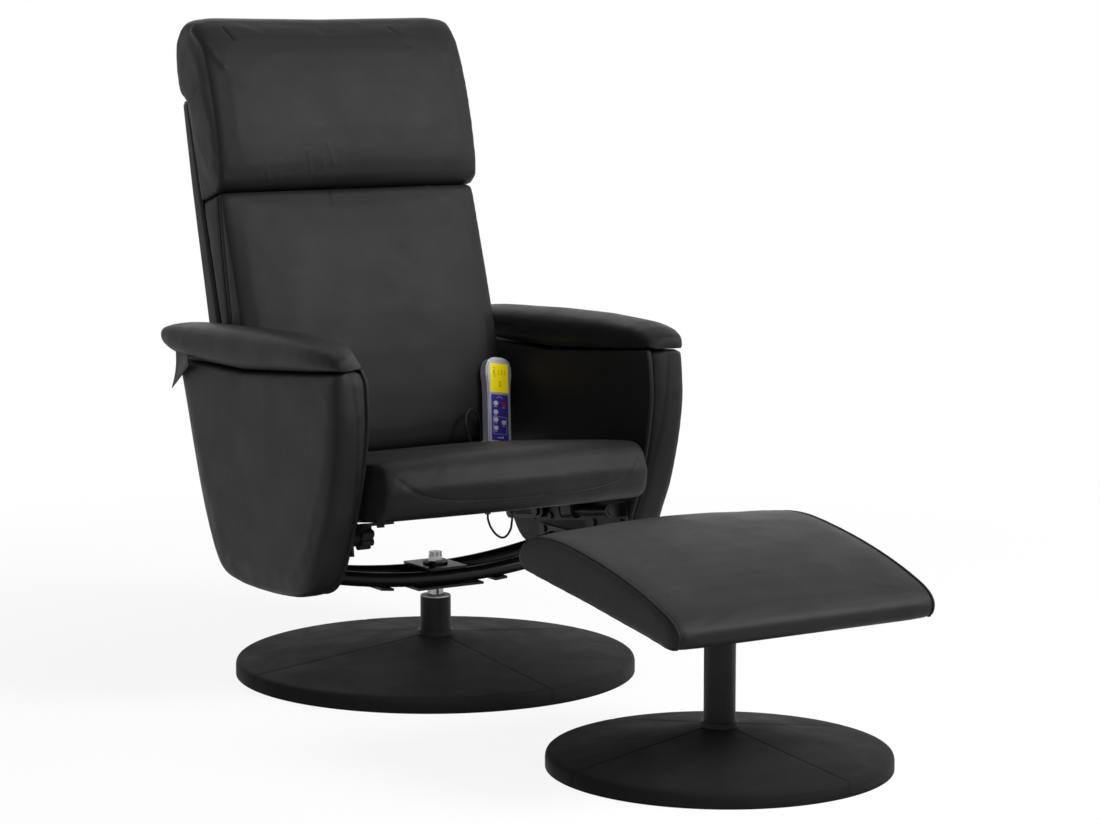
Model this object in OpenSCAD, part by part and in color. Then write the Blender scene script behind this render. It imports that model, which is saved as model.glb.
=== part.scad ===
// Reclining swivel massage chair with its footstool and wired hand control.
// Millimetres. The sitter faces -Y, +Z is up, the origin is the centre of the
// chair base on the floor.

/* [Chair base] */
// Diameter of the round base
base_d = 640; // [580:5:680]
// Height of the upright rim
base_rim_h = 24; // [18:1:32]
// Height of the base at its centre
base_peak_h = 58; // [48:1:66]
// Thickness of the leather cover on the base
base_cover_t = 2; // [1.5:0.5:3]
// Outer diameter of the column sleeve
sleeve_d = 49; // [45:1:54]
// Wall of the column sleeve
sleeve_wall = 3; // [2:0.5:4]
// Height of the sleeve's top edge
sleeve_top_h = 120; // [110:1:126]
// Diameter of the sleeve's bottom flange
sleeve_flange_d = 150; // [120:2:180]
// Thickness of the sleeve's bottom flange
sleeve_flange_t = 6; // [4:1:8]

/* [Swivel] */
// Diameter of the chromed spindle
spindle_d = 26; // [22:1:30]
// Diameter of the spindle's threaded end
spindle_end_d = 18; // [14:1:20]
// Height of the underside of the yoke
yoke_h = 141; // [136:1:146]

/* [Yoke] */
// Outer diameter of the yoke tubes
yoke_tube_d = 23; // [19:1:26]
// Distance between the two yoke tubes
yoke_tube_gap = 78; // [70:2:92]
// Radius of the bow of the yoke tubes
yoke_bow_r = 1080; // [950:10:1300]
// Thickness of the plates of the yoke
yoke_plate_t = 4; // [3:0.5:5]

/* [Arms] */
// Clear width between the arms
arm_clear_w = 500; // [490:2:520]
// Thickness of each upholstered arm
arm_t = 62; // [54:1:72]
// Thickness of the board inside the arm
arm_board_t = 18; // [12:1:22]
// Thickness of the lining on the arm's inner face
arm_lining_t = 6; // [4:1:8]
// Length of the arm panel along its top
arm_len = 554; // [540:2:580]
// Front edge of the arm panel, ahead of the base centre
arm_front = 254; // [250:1:262]
// Height of the arm's lower edge
arm_bottom_h = 156; // [150:1:158]
// Height of the arm panel under its pad
arm_panel_h = 350; // [340:2:370]
// Thickness of the armrest pad
arm_pad_h = 63; // [54:1:72]
// Length of the armrest pad
arm_pad_len = 602; // [584:2:630]
// Width of the armrest pad
arm_pad_w = 78; // [70:1:84]

/* [Seat] */
// Fall of the seat towards the back, in degrees
seat_fall = 8; // [6:1:10]
// Room between the seat cushion and each arm
seat_side_gap = 16; // [14:1:30]
// Seat cushion ahead of the base centre, at its side
seat_front = 308; // [296:1:316]
// Seat cushion behind the base centre
seat_rear = 158; // [146:1:160]
// Height of the seat's top above the origin, square to the seat
seat_top_h = 350; // [348:1:352]
// Thickness of the seat cushion
seat_cushion_t = 94; // [86:1:98]
// Thickness of the seat board
seat_board_t = 15; // [12:1:18]
// Crown of the seat cushion
seat_crown = 9; // [4:1:12]
// How far the middle of the seat's front edge bows out
seat_bow = 30; // [16:1:36]

/* [Back] */
// Lean of the back from upright, in degrees
back_lean = 17; // [15:1:19]
// Room between the back and each arm
back_side_gap = 12; // [11:1:24]
// Foot of the back cushion, along the back from the origin
back_foot = 366; // [362:1:376]
// Seam between the back cushion and the head pillow
back_seam = 808; // [780:2:840]
// Top of the head pillow, along the back
back_top = 1105; // [1060:5:1140]
// Front of the back cushion at its side seam
back_front = 38; // [34:1:44]
// Crown of the back cushion
back_crown = 17; // [10:1:22]
// Front face of the back board
back_board_at = 112; // [106:1:118]
// Thickness of the back board
back_board_t = 15; // [12:1:18]
// Rear face of the back cover
back_rear = 164; // [158:1:170]
// Front of the head pillow
pillow_front = 7; // [2:1:16]

/* [Recline] */
// How far the back reclines, in degrees
recline_max = 32; // [24:1:36]
// Pivot of the back, along the back from the origin
pivot_up = 450; // [440:1:466]
// Pivot of the back, behind the back's own zero plane
pivot_behind = 70; // [60:1:80]
// Distance from the pivot to the link pin
link_len = 140; // [134:1:146]
// Diameter of the pivot pins
pivot_pin_d = 12; // [10:1:14]
// Diameter of the link pins
link_pin_d = 10; // [8:1:12]
// Diameter of the slide studs
stud_d = 10; // [8:1:12]
// Diameter of the guide bar on the right side
guide_bar_d = 13; // [11:1:15]
// Diameter across the lobes of the star knob
knob_d = 41; // [36:1:42]
// Running clearance round pins and bars, on the diameter
run_gap = 0.16; // [0.1:0.02:0.2]

/* [Hand control] */
// Length of the hand control
remote_len = 148; // [136:1:160]
// Width of the hand control at its foot
remote_w = 44; // [40:1:50]
// Thickness of the hand control
remote_t = 22; // [18:1:26]
// Wall of the hand control's shells
remote_wall = 2; // [1.5:0.5:3]
// Diameter of the keys
key_d = 8; // [6:0.5:9]
// Travel of the keys
key_travel = 1; // [0.6:0.1:1.2]
// Diameter of the leads
lead_d = 3.6; // [3:0.2:4.4]

/* [Footstool] */
// Diameter of the footstool's base
stool_base_d = 490; // [450:5:530]
// Diameter of the footstool's column
stool_column_d = 45; // [40:1:50]
// Width of the footstool's cushion
stool_w = 440; // [406:2:466]
// Depth of the footstool's cushion
stool_depth = 405; // [380:1:430]
// Height of the footstool's front lower edge
stool_front_h = 221; // [205:1:240]
// Height of the cushion's side from that edge to the top
stool_rise = 106; // [96:1:116]
// Distance from the chair's centre to the footstool's
stool_dist = 760; // [740:5:800]
// Sideways offset of the footstool
stool_side = 18; // [0:1:40]

/* [Hidden] */
$fn = 64;

// Small sizes that several pieces share
cut = 2; // overrun of a cut past a face
seat_gap = 0.3; // gap between soft pieces that lie on each other
screw_d = 6;
screw_head_d = 12;
screw_head_h = 3;
plate_t = 4;
pin_play = 1.2; // play of a pin in its slot, on the width
motor_d = 50;
motor_flange_d = 62;
motor_flange_t = 3;
cloth_t = 1.5;

// Base
base_board_gap = 0.2;
base_round = 6;
collar_d = 56;
collar_h = 8;
flange_screw_r = 58;
disc_screw_len = 12;
sleeve_bore_d = sleeve_d - 2 * sleeve_wall;
bush_h = 22;
bush_lip_h = 2;
bush_lip_wall = 1;
thrust_h = 30; // height of the spindle's foot, on the lower bush

// Yoke
yoke_plate_half_x = 60;
yoke_plate_half_y = (yoke_tube_gap + yoke_tube_d) / 2;
yoke_lid_half_x = 34;
yoke_lid_over = 4; // how far the lid reaches past the middle of each tube
yoke_lid_half_y = yoke_tube_gap / 2 + yoke_lid_over;
yoke_tab_left = 114;
yoke_tab_right = 92;
yoke_tab_w = 22;
yoke_tube_wall = 2;
end_plate_t = 4;
end_plate_low = 6;
end_plate_high = 8;
end_screw_out = 13.5; // from the side of a tube to the screws beside it
end_screw_y = (yoke_tube_gap + yoke_tube_d) / 2 + end_screw_out;
end_plate_half_y = end_screw_y + end_screw_out;
end_screw_low = 6;
end_screw_high = 12;
screw_gap = 0.1;
nut_d = 25;
nut_h = 14;
washer_d = 40;
washer_t = 3;
weld_gap = 0.2;
yoke_mid_z = yoke_h + yoke_plate_t + yoke_tube_d / 2 + weld_gap;
yoke_in_r = yoke_bow_r - yoke_tube_d / 2;
yoke_top_z = yoke_mid_z + yoke_bow_r + weld_gap - sqrt(pow(yoke_in_r, 2) - pow(yoke_lid_half_x, 2));
arm_in_x = arm_clear_w / 2;
yoke_reach = arm_in_x - end_plate_t;
yoke_end_z = yoke_mid_z + yoke_bow_r - sqrt(pow(yoke_bow_r, 2) - pow(yoke_reach, 2));
yoke_sweep = asin(yoke_reach / yoke_bow_r) + 1;

// Arm outline, as shares of the panel's length and height, from its top front corner
arm_crease_front_share = 1.05; // level of the arm's top line at the front
arm_crease_rear_share = 0.972; // and behind its knee
arm_knee_share = 0.567; // place of the knee along the arm
arm_outline_shares = [
  [0.012, arm_crease_front_share],
  [0, 0.86],
  [0.012, 0.7],
  [0.034, 0.56],
  [0.063, 0.42],
  [0.098, 0.31],
  [0.12, 0.235],
  [0.165, 0.115],
  [0.226, 0.04],
  [0.323, 0.012],
  [0.5, 0],
  [0.65, 0.01],
  [0.735, 0.055],
  [0.803, 0.205],
  [0.854, 0.375],
  [0.904, 0.585],
  [0.965, 0.865],
  [1, arm_crease_rear_share]
];
arm_board_inset = 25;
arm_board_x = arm_in_x + arm_lining_t;
arm_out_x = arm_in_x + arm_t;
arm_soft_w = arm_out_x - arm_board_x;
arm_rear = arm_len - arm_front;
arm_top_h = arm_bottom_h + arm_panel_h;
// Thickness and outline shares of the arm cushion, from the board outwards
arm_bulge_shares = [[0, 0.962], [0.05, 0.982], [0.16, 0.995], [0.4, 1], [0.72, 1], [0.88, 0.992],
  [0.96, 0.972], [1, 0.93]];
arm_lining_share = 0.985;
arm_pad_round_share = 0.42;
// Arm pad: place along its length, thickness, width and rise of its underside off the arm, as shares
arm_pad_shares = [
  [0, 0.17, 0.66, 0.017],
  [0.006, 0.27, 0.8, 0.004],
  [0.022, 0.37, 0.9, 0],
  [0.055, 0.51, 0.97, 0],
  [0.12, 0.65, 1, 0],
  [0.3, 0.85, 1, 0],
  [arm_knee_share * arm_len / arm_pad_len, 1, 1, 0],
  [0.68, 0.926, 1, 0],
  [0.84, 0.83, 1, 0.03],
  [0.92, 0.7, 0.97, 0.1],
  [0.966, 0.53, 0.9, 0.22],
  [0.99, 0.36, 0.78, 0.33],
  [1, 0.22, 0.62, 0.41]
];

// Seat
seat_w = arm_clear_w - 2 * seat_side_gap;
seat_under_h = seat_top_h - seat_cushion_t;
seat_dip = 7; // how much lower the top is at the rear
seat_dip_from_a = -60;
seat_round = 34;
seat_edge = 6;
seat_side_in = 13;
seat_board_in = 12;
seat_board_front_in = 46;
// Station across a cushion, and how full the cushion is there
cushion_shares = [[-1, 0.45], [-0.988, 0.7], [-0.955, 0.88], [-0.88, 0.97], [-0.6, 1], [-0.2, 1],
  [0.2, 1], [0.6, 1], [0.88, 0.97], [0.955, 0.88], [0.988, 0.7], [1, 0.45]];
cloth_side_in = 70;
cloth_half_w = arm_in_x - cloth_side_in;
cloth_edge = 26;
cloth_deep = 5;
seat_motor_side_in = 145;
seat_motor_x = arm_in_x - seat_motor_side_in;
seat_motor_a = -20;

// Recline linkage, in the seat's and in the back's own coordinates
pivot_y = pivot_behind * cos(back_lean) + pivot_up * sin(back_lean);
pivot_z = pivot_up * cos(back_lean) - pivot_behind * sin(back_lean);
pivot_a = pivot_y * cos(seat_fall) - pivot_z * sin(seat_fall);
pivot_n = pivot_y * sin(seat_fall) + pivot_z * cos(seat_fall);
link_a = pivot_a + link_len * sin(recline_max / 2);
link_n = pivot_n - link_len * cos(recline_max / 2);
link_y = link_a * cos(seat_fall) + link_n * sin(seat_fall);
link_z = link_n * cos(seat_fall) - link_a * sin(seat_fall);
link_t = link_y * cos(back_lean) - link_z * sin(back_lean);
link_w = link_y * sin(back_lean) + link_z * cos(back_lean);
travel = 2 * link_len * sin(recline_max / 2);
link_dip = link_len * (1 - cos(recline_max / 2));
bracket_out = 7; // space between the back bracket and the arm
bracket_x = arm_in_x - bracket_out - plate_t;
pivot_boss_r = 16;
link_boss_r = 11;
lug_gap = 3;
lug_x = bracket_x - lug_gap - plate_t;
lug_wall = 9;
lug_foot_a = 166;
lug_strip_h = 12;
pin_end = 4;
bush_wall = 3;
bush_flange_t = 2;

// Slide
slide_drop = 21.5; // the slide's line below the seat board
slide_n = seat_under_h - slide_drop;
front_stud_a = -185;
rear_stud_a = 44;
side_plate_t = 3;
side_plate_x = arm_in_x - side_plate_t;
side_plate_low = 28;
side_plate_high = 14;
side_plate_front_a = -214;
side_plate_rear_a = 76;
side_plate_rear_low = 16;
side_plate_step_a = -92;
side_screw_places = [[-196, -20], [-116, -20], [14, -9], [66, -9]];
hanger_out = 12; // space from the hanger's inner face to the arm
hanger_x = arm_in_x - hanger_out;
hanger_half = 12;
hanger_end = 16;
hanger_flange_w = 44;
hanger_foot_a = -256;
hanger_foot_w = 20;
hanger_post_a = 112;
stud_head_d = 16;
stud_head_t = 3;
stud_gap = 0.4;
bar_side_in = 21;
bar_x = arm_in_x - bar_side_in;
bar_front_a = -198;
bar_rear_a = -56;
bar_ear_t = 4;
bar_ear_r = 11;
hook_front_a = -95;
hook_len = 30;
hook_wall = 5;
knob_gap = 1;
knob_hub_d = 22;
knob_hub_h = 12;
knob_head_h = 20;
knob_lobe_r = 6;
knob_skin = 4;
knob_x = hanger_x - knob_gap;

// Back
back_w = arm_clear_w - 2 * back_side_gap;
board_side_in = 10;
board_half = back_w / 2 - board_side_in;
board_ear_low = 392;
board_ear_high = 548;
board_foot = 385;
board_top = 976;
cover_foot = 380;
cover_top = 986;
cover_wall = 4;
// Rear face of the cover: height and depth, from its top to its foot, as shares
cover_rear_shares = [
  [1, 0.46],
  [0.985, 0.5],
  [0.87, 0.603],
  [0.76, 0.72],
  [0.62, 0.81],
  [0.49, 0.885],
  [0.37, 0.96],
  [0.2, 1],
  [0.04, 0.98],
  [0, 0.9]
];
ear_gap = 0.5; // gap round the board's ears in the rear cover
pillow_skin = 2;
back_side_share = 0.75; // how much of its crown the back cushion loses at its sides
back_round = 26;
back_edge = 9;
back_motor_side_in = 128;
back_motor_x = arm_in_x - back_motor_side_in;
back_motor_low = 620;
back_motor_high = 892;
// Head pillow outline, as shares of its depth and height, from the board's front at its foot
pillow_outline_shares = [
  [0.88, 0],
  [0.62, 0],
  [0.33, 0.006],
  [0.13, 0.05],
  [0.03, 0.22],
  [0, 0.44],
  [0.02, 0.64],
  [0.1, 0.84],
  [0.29, 0.965],
  [0.51, 1],
  [0.76, 0.99],
  [0.95, 0.93],
  [1.05, 0.82],
  [1.085, 0.73],
  [1.085, 0.665],
  [1.05, 0.622],
  [0.97, 0.606],
  [0.88, 0.604]
];
pillow_depth = 119;
pillow_h = back_top - back_seam;
// Station across the pillow, and how full it is there
// Head pillow: place across it, depth and height of its upper part, as shares
pillow_shares = [
  [-1, 0.9, 0.93],
  [-0.985, 0.94, 0.965],
  [-0.94, 0.975, 0.985],
  [-0.84, 0.99, 1.01],
  [-0.5, 1, 1],
  [0, 1, 0.985],
  [0.5, 1, 1],
  [0.84, 0.99, 1.01],
  [0.94, 0.975, 0.985],
  [0.985, 0.94, 0.965],
  [1, 0.9, 0.93]
];
pillow_over = 2;
pillow_w = back_w + 2 * pillow_over;

// Electrics
box_side_in = 92;
box_x = box_side_in - arm_in_x;
box_a = 88;
box_w = 70;
box_l = 104;
box_h = 26;
box_wall = 2.5;
inlet_d = 11;
inlet_len = 9;
inlet_reach = 4;
gland_d = 9;
gland_h = 6;
// Route of the loop of cord under the seat
loop_route = [
  [38, -100, 262],
  [38, -100, 256],
  [40, -100, 249],
  [43, -100, 242],
  [47, -100, 236],
  [52, -100, 230],
  [57, -100, 226],
  [63, -100, 223],
  [69, -100, 223],
  [74, -100, 226],
  [78, -100, 231],
  [81, -100, 237],
  [82, -100, 244],
  [83, -100, 251],
  [83, -100, 257],
  [83, -100, 262]
];

// Hand control, placed along the back
remote_side_in = 61;
remote_x = arm_in_x - remote_side_in;
remote_behind = 16.5;
remote_up = 354.4;
remote_roll = 9;
remote_head_w = remote_w + 5;
remote_round = 2;
// Outline of the hand control, as shares of its head width and its length
remote_outline_shares = [
  [0.36, 0],
  [0.43, 0.02],
  [0.45, 0.07],
  [0.445, 0.3],
  [0.44, 0.55],
  [0.46, 0.7],
  [0.5, 0.8],
  [0.49, 0.89],
  [0.42, 0.95],
  [0.3, 0.985],
  [0.14, 1]
];
screen_w = 34;
screen_low = 88;
screen_h = 49;
keypad_w = 32;
keypad_low = 6;
keypad_h = 78;
inlay_t = 1;
remote_pcb_t = 1.6;
remote_pcb_w = 34;
remote_pcb_low = 12;
remote_pcb_h = 118;
remote_post_d = 4;
remote_post_x = 11;
remote_sleeve_d = 6;
remote_sleeve_len = 17;
remote_sleeve_turn = 115;
remote_sleeve_at = [-12, 5, 9]; // place of its inner end on the hand control
key_gap = 0.3;
key_proud = 1.4;
key_lip = 1;
key_lip_t = 1;
// Places of the keys on the hand control: across it and up it
key_places = [[7, 68], [-8, 69], [-8, 54], [-8, 41], [-8, 27], [7, 37]];

// Footstool
stool_rim_h = 22;
stool_peak_h = 56;
stool_board_h = 15;
stool_tilt = 7.6;
stool_column_wall = 2.5;
stool_flange_d = 130;
stool_flange_t = 6;
stool_top_plate = 130;
stool_collar_d = 52;
stool_collar_h = 8;
stool_under_h = 250;
stool_crown = 9;
stool_board_in = 24;
stool_screw_r = 48;
stool_lead_share = 0.525; // share of the cushion's depth that lies ahead of the column
stool_y0 = -stool_lead_share * stool_depth;
// Side outline of the footstool's cushion, as shares of its depth and rise
stool_outline_shares = [
  [0.025, 0],
  [0.09, 0.02],
  [0.19, 0.09],
  [0.37, 0.19],
  [0.54, 0.29],
  [0.73, 0.38],
  [0.89, 0.46],
  [0.97, 0.51],
  [1, 0.62],
  [0.985, 0.78],
  [0.93, 0.92],
  [0.86, 0.985],
  [0.73, 1],
  [0.58, 0.93],
  [0.42, 0.82],
  [0.26, 0.67],
  [0.13, 0.51],
  [0.04, 0.36],
  [0, 0.19]
];
// Station across the footstool's cushion, and how full it is there
stool_shares = [[-1, 0.93], [-0.985, 0.965], [-0.93, 0.99], [-0.8, 1], [-0.4, 1], [0, 1],
  [0.4, 1], [0.8, 1], [0.93, 0.99], [0.985, 0.965], [1, 0.93]];

// Colours
leather_colour = [0.13, 0.13, 0.14];
steel_black_colour = [0.07, 0.07, 0.08];
chrome_colour = [0.8, 0.8, 0.82];
wood_colour = [0.72, 0.58, 0.4];
plastic_colour = [0.1, 0.1, 0.1];

// Curves and rings

// A point on a smooth curve through four points, a share f of the way from b to c
function curve_point(a, b, c, d, f) =
  b + f / 2 * (c - a + f * (2 * a - 5 * b + 4 * c - d + f * (3 * (b - c) + d - a)));

// A closed smooth curve through points, with count pieces for each stretch
function closed_curve(points, count) =
  [
    for (i = [0:len(points) - 1])
      for (k = [0:count - 1])
        let (m = len(points))
          curve_point(
            points[(i + m - 1) % m],
            points[i],
            points[(i + 1) % m],
            points[(i + 2) % m],
            k / count
          )
  ];

// A smooth curve through points, straight from the last point back to the first
function open_curve(points, count) =
  let (last = len(points) - 1)
    [
      for (i = [0:last - 1])
        for (k = [0:(i == last - 1 ? count : count - 1)])
          curve_point(
            points[max(i - 1, 0)],
            points[i],
            points[i + 1],
            points[min(i + 2, last)],
            k / count
          )
    ];

function mean_point(points) = [for (p = points) 1] * points / len(points);

function scaled_ring(points, share) =
  let (middle = mean_point(points))
    [for (p = points) middle + (p - middle) * share];

// Ring of a rounded box between low and high, with bulged sides, in the plane at x.
// Corners and sides run from the high, high corner over the low, high one
function box_ring(x, low, high, r, bulge, steps = 4, side_steps = 6) =
  let (
    centres = [
      [high[0] - r[0], high[1] - r[0]],
      [low[0] + r[1], high[1] - r[1]],
      [low[0] + r[2], low[1] + r[2]],
      [high[0] - r[3], low[1] + r[3]]
    ]
  )
    [
      for (c = [0:3])
        each concat(
          [
            for (i = [0:steps])
              let (angle = 90 * (c + i / steps))
                [x, centres[c][0] + r[c] * cos(angle), centres[c][1] + r[c] * sin(angle)]
          ],
          [
            for (i = [1:side_steps - 1])
              let (
                angle = 90 * (c + 1),
                next = centres[(c + 1) % 4],
                f = i / side_steps,
                p = centres[c] + (next - centres[c]) * f,
                reach = r[c] + (r[(c + 1) % 4] - r[c]) * f + bulge[c] * 4 * f * (1 - f)
              )
                [x, p[0] + reach * cos(angle), p[1] + reach * sin(angle)]
          ]
        )
    ];

// Closed solid through rings of as many points, each wound the same way
module loft(rings) {
  m = len(rings[0]);
  n = len(rings);
  half = floor(m / 2);
  caps = [for (r = [rings[0], rings[n - 1]]) (r[0] + r[half]) / 2];
  points = concat([for (r = rings) each r], caps);
  sides = [
    for (i = [0:n - 2])
      for (j = [0:m - 1])
        let (k = (j + 1) % m)
          each [
            [i * m + j, (i + 1) * m + j, (i + 1) * m + k],
            [i * m + j, (i + 1) * m + k, i * m + k]
          ]
  ];
  first_cap = [for (j = [0:m - 1]) [n * m, j, (j + 1) % m]];
  last_cap = [for (j = [0:m - 1]) [n * m + 1, (n - 1) * m + (j + 1) % m, (n - 1) * m + j]];
  polyhedron(points = points, faces = concat(sides, first_cap, last_cap));
}

// Ring of a round tube at point p, square to direction d
function tube_ring(p, d, side, r, count) =
  let (
    along = d / norm(d),
    up = cross(along, side) / norm(cross(along, side)),
    across = cross(up, along)
  )
    [
      for (i = [0:count - 1])
        p + r * cos(360 * i / count) * across + r * sin(360 * i / count) * up
    ];

// Round tube along points, swept square to them, with its rings held level to side
module swept_tube(points, d, side, count = 8) {
  last = len(points) - 1;
  rings = [
    for (i = [0:last])
      tube_ring(points[i], points[min(i + 1, last)] - points[max(i - 1, 0)], side, d / 2, count)
  ];
  mirror_order = [for (r = rings) [for (j = [count - 1:-1:0]) r[j]]];
  loft(mirror_order);
}

// Placing

// Turns a piece drawn in the seat's or the back's own coordinates into place
module leaned(angle) {
  rotate([-angle, 0, 0]) children();
}

// Draws a piece on the right, or mirrored on the left
module on_side(side) {
  if (side > 0)
    children();
  else
    mirror([1, 0, 0]) children();
}

module both_sides() {
  children();
  mirror([1, 0, 0]) children();
}

// Plate of thickness t that stands in the plane x, from an outline in y and z
module side_plate(x, t) {
  translate([x, 0, 0]) rotate([90, 0, 90]) linear_extrude(height = t) children();
}

// Round rod along x, from x to x + len, at y and z
module side_rod(x, len, y, z, d) {
  translate([x, y, z]) rotate([0, 90, 0]) cylinder(d = d, h = len);
}

// Flat bar with round ends, from point p to point q
module bar_outline(p, q, r) {
  run = q - p;
  translate(p) circle(r = r);
  translate(q) circle(r = r);
  translate(p) rotate(atan2(run[1], run[0])) translate([0, -r]) square([norm(run), 2 * r]);
}

// Chair base

// Board of a covered disc, with its hole, its flange's recess and its screws' holes
module disc_core(d, rim_h, peak_h, top_d, hole_d, recess_d, recess_h, screw_r) {
  skin_d = d - 2 * base_cover_t - 2 * base_board_gap;
  top_drop = base_cover_t + base_board_gap;
  difference() {
    rotate_extrude($fn = 96)
      polygon([
        [0, 0],
        [skin_d / 2, 0],
        [skin_d / 2, rim_h - base_round],
        [skin_d / 2 - base_round, rim_h - top_drop],
        [top_d / 2, peak_h - top_drop],
        [0, peak_h - top_drop]
      ]);
    translate([0, 0, -cut]) cylinder(d = hole_d + 2 * base_board_gap, h = peak_h + 2 * cut);
    translate([0, 0, -cut]) cylinder(d = recess_d + 2 * base_board_gap, h = recess_h + cut);
    round_pattern(screw_r)
      translate([0, 0, -cut]) cylinder(d = screw_d + 2 * screw_gap, h = recess_h + disc_screw_len + cut);
  }
}

// Leather cover of a disc, over its rim and its sloping top
module disc_cover(d, rim_h, peak_h, top_d, hole_d) {
  rotate_extrude($fn = 96)
    polygon([
      [d / 2 - base_cover_t, 0],
      [d / 2, 0],
      [d / 2, rim_h - base_round],
      [d / 2 - base_round / 3, rim_h - base_round / 3],
      [d / 2 - base_round, rim_h],
      [top_d / 2, peak_h],
      [hole_d / 2, peak_h],
      [hole_d / 2, peak_h - base_cover_t],
      [top_d / 2, peak_h - base_cover_t],
      [d / 2 - base_cover_t - base_round, rim_h - base_cover_t],
      [d / 2 - base_cover_t, rim_h - base_round]
    ]);
}

module base_disc() {
  color(wood_colour)
    disc_core(
      base_d,
      base_rim_h,
      base_peak_h,
      collar_d,
      sleeve_d,
      sleeve_flange_d,
      sleeve_flange_t,
      flange_screw_r
    );
}

module base_cover() {
  color(leather_colour)
    disc_cover(base_d, base_rim_h, base_peak_h, collar_d, sleeve_d + 2 * base_board_gap);
}

// Ring that hides the cover's edge round a column
module column_collar(column_d, ring_d, ring_h, h) {
  translate([0, 0, h])
    difference() {
      cylinder(d = ring_d, h = ring_h);
      translate([0, 0, -cut]) cylinder(d = column_d + 2 * base_board_gap, h = ring_h + 2 * cut);
    }
}

module base_collar() {
  color(plastic_colour) column_collar(sleeve_d, collar_d, collar_h, base_peak_h);
}

// Ring of holes, or of screws that fill them
module round_pattern(r, count = 4) {
  for (i = [0:count - 1])
    rotate([0, 0, 360 * (i + 1 / 2) / count]) translate([r, 0, 0]) children();
}

module column_sleeve() {
  color(steel_black_colour)
    difference() {
      union() {
        cylinder(d = sleeve_flange_d, h = sleeve_flange_t);
        cylinder(d = sleeve_d, h = sleeve_top_h);
      }
      translate([0, 0, sleeve_flange_t]) cylinder(d = sleeve_bore_d, h = sleeve_top_h);
      round_pattern(flange_screw_r)
        translate([0, 0, -cut]) cylinder(d = screw_head_d, h = sleeve_flange_t + 2 * cut);
    }
}

// Screw whose head fills a hole of the flange and whose shank goes up into the disc
module disc_screw(flange_t) {
  translate([0, 0, base_board_gap]) cylinder(d = screw_head_d, h = flange_t - base_board_gap);
  translate([0, 0, flange_t]) cylinder(d = screw_d, h = disc_screw_len - base_board_gap);
}

module column_screws() {
  color(steel_black_colour) round_pattern(flange_screw_r) disc_screw(sleeve_flange_t);
}

module column_bushes() {
  color("white") {
    difference() {
      translate([0, 0, sleeve_flange_t])
        cylinder(d = sleeve_bore_d, h = thrust_h + bush_h - sleeve_flange_t);
      translate([0, 0, thrust_h]) cylinder(d = spindle_d + run_gap, h = bush_h + cut);
    }
    difference() {
      union() {
        translate([0, 0, sleeve_top_h - bush_h]) cylinder(d = sleeve_bore_d, h = bush_h);
        translate([0, 0, sleeve_top_h]) cylinder(d = sleeve_d - 2 * bush_lip_wall, h = bush_lip_h);
      }
      translate([0, 0, sleeve_top_h - bush_h - cut])
        cylinder(d = spindle_d + run_gap, h = bush_h + bush_lip_h + 2 * cut);
    }
  }
}

// Swivel and yoke

module spindle() {
  color(chrome_colour) {
    translate([0, 0, thrust_h]) cylinder(d = spindle_d, h = yoke_h - thrust_h);
    translate([0, 0, yoke_h])
      cylinder(d = spindle_end_d, h = yoke_top_z + yoke_plate_t + washer_t + nut_h - yoke_h);
  }
}

module spindle_nut() {
  nut_z = yoke_top_z + yoke_plate_t + washer_t;
  color(chrome_colour)
    translate([0, 0, nut_z])
      difference() {
        union() {
          cylinder(d = nut_d, h = nut_h * 2 / 3, $fn = 6);
          cylinder(d = nut_d - 2 * bush_lip_wall - 2 * bush_lip_wall, h = nut_h + bush_lip_h);
        }
        translate([0, 0, -cut]) cylinder(d = spindle_end_d, h = nut_h + cut);
      }
}

// One bowed tube of the yoke, in front or behind
module bowed_tube(y) {
  color(steel_black_colour)
    intersection() {
      translate([0, y, yoke_mid_z + yoke_bow_r])
        rotate([90, 0, 0])
          rotate([0, 0, 270 - yoke_sweep])
            rotate_extrude(angle = 2 * yoke_sweep, $fn = 96)
              translate([yoke_bow_r, 0])
                difference() {
                  circle(d = yoke_tube_d, $fn = 32);
                  circle(d = yoke_tube_d - 2 * yoke_tube_wall, $fn = 32);
                }
      translate([-yoke_reach, y - yoke_tube_d, yoke_h])
        cube([2 * yoke_reach, 2 * yoke_tube_d, 4 * yoke_tube_d]);
    }
}

module yoke_front_tube() {
  bowed_tube(-yoke_tube_gap / 2);
}

module yoke_rear_tube() {
  bowed_tube(yoke_tube_gap / 2);
}

// Flat bar under both tubes at a distance x from the middle
module yoke_tab(x) {
  out_r = yoke_bow_r + yoke_tube_d / 2;
  translate([0, 0, yoke_mid_z + yoke_bow_r])
    rotate([0, -asin(x / yoke_bow_r), 0])
      translate([-yoke_tab_w / 2, -yoke_plate_half_y, -out_r - weld_gap - yoke_plate_t])
        cube([yoke_tab_w, 2 * yoke_plate_half_y, yoke_plate_t]);
}

module yoke_plates() {
  color(steel_black_colour) {
    difference() {
      union() {
        translate([-yoke_plate_half_x, -yoke_plate_half_y, yoke_h])
          cube([2 * yoke_plate_half_x, 2 * yoke_plate_half_y, yoke_plate_t]);
        translate([-yoke_lid_half_x, -yoke_lid_half_y, yoke_top_z])
          cube([2 * yoke_lid_half_x, 2 * yoke_lid_half_y, yoke_plate_t]);
      }
      translate([0, 0, yoke_h - cut]) cylinder(d = spindle_end_d, h = yoke_top_z);
    }
    yoke_tab(-yoke_tab_left);
    yoke_tab(yoke_tab_right);
  }
}

module end_screw_places() {
  for (y = [-end_screw_y, end_screw_y])
    for (z = [-end_screw_low, end_screw_high])
      translate([y, yoke_end_z + z]) children();
}

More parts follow.
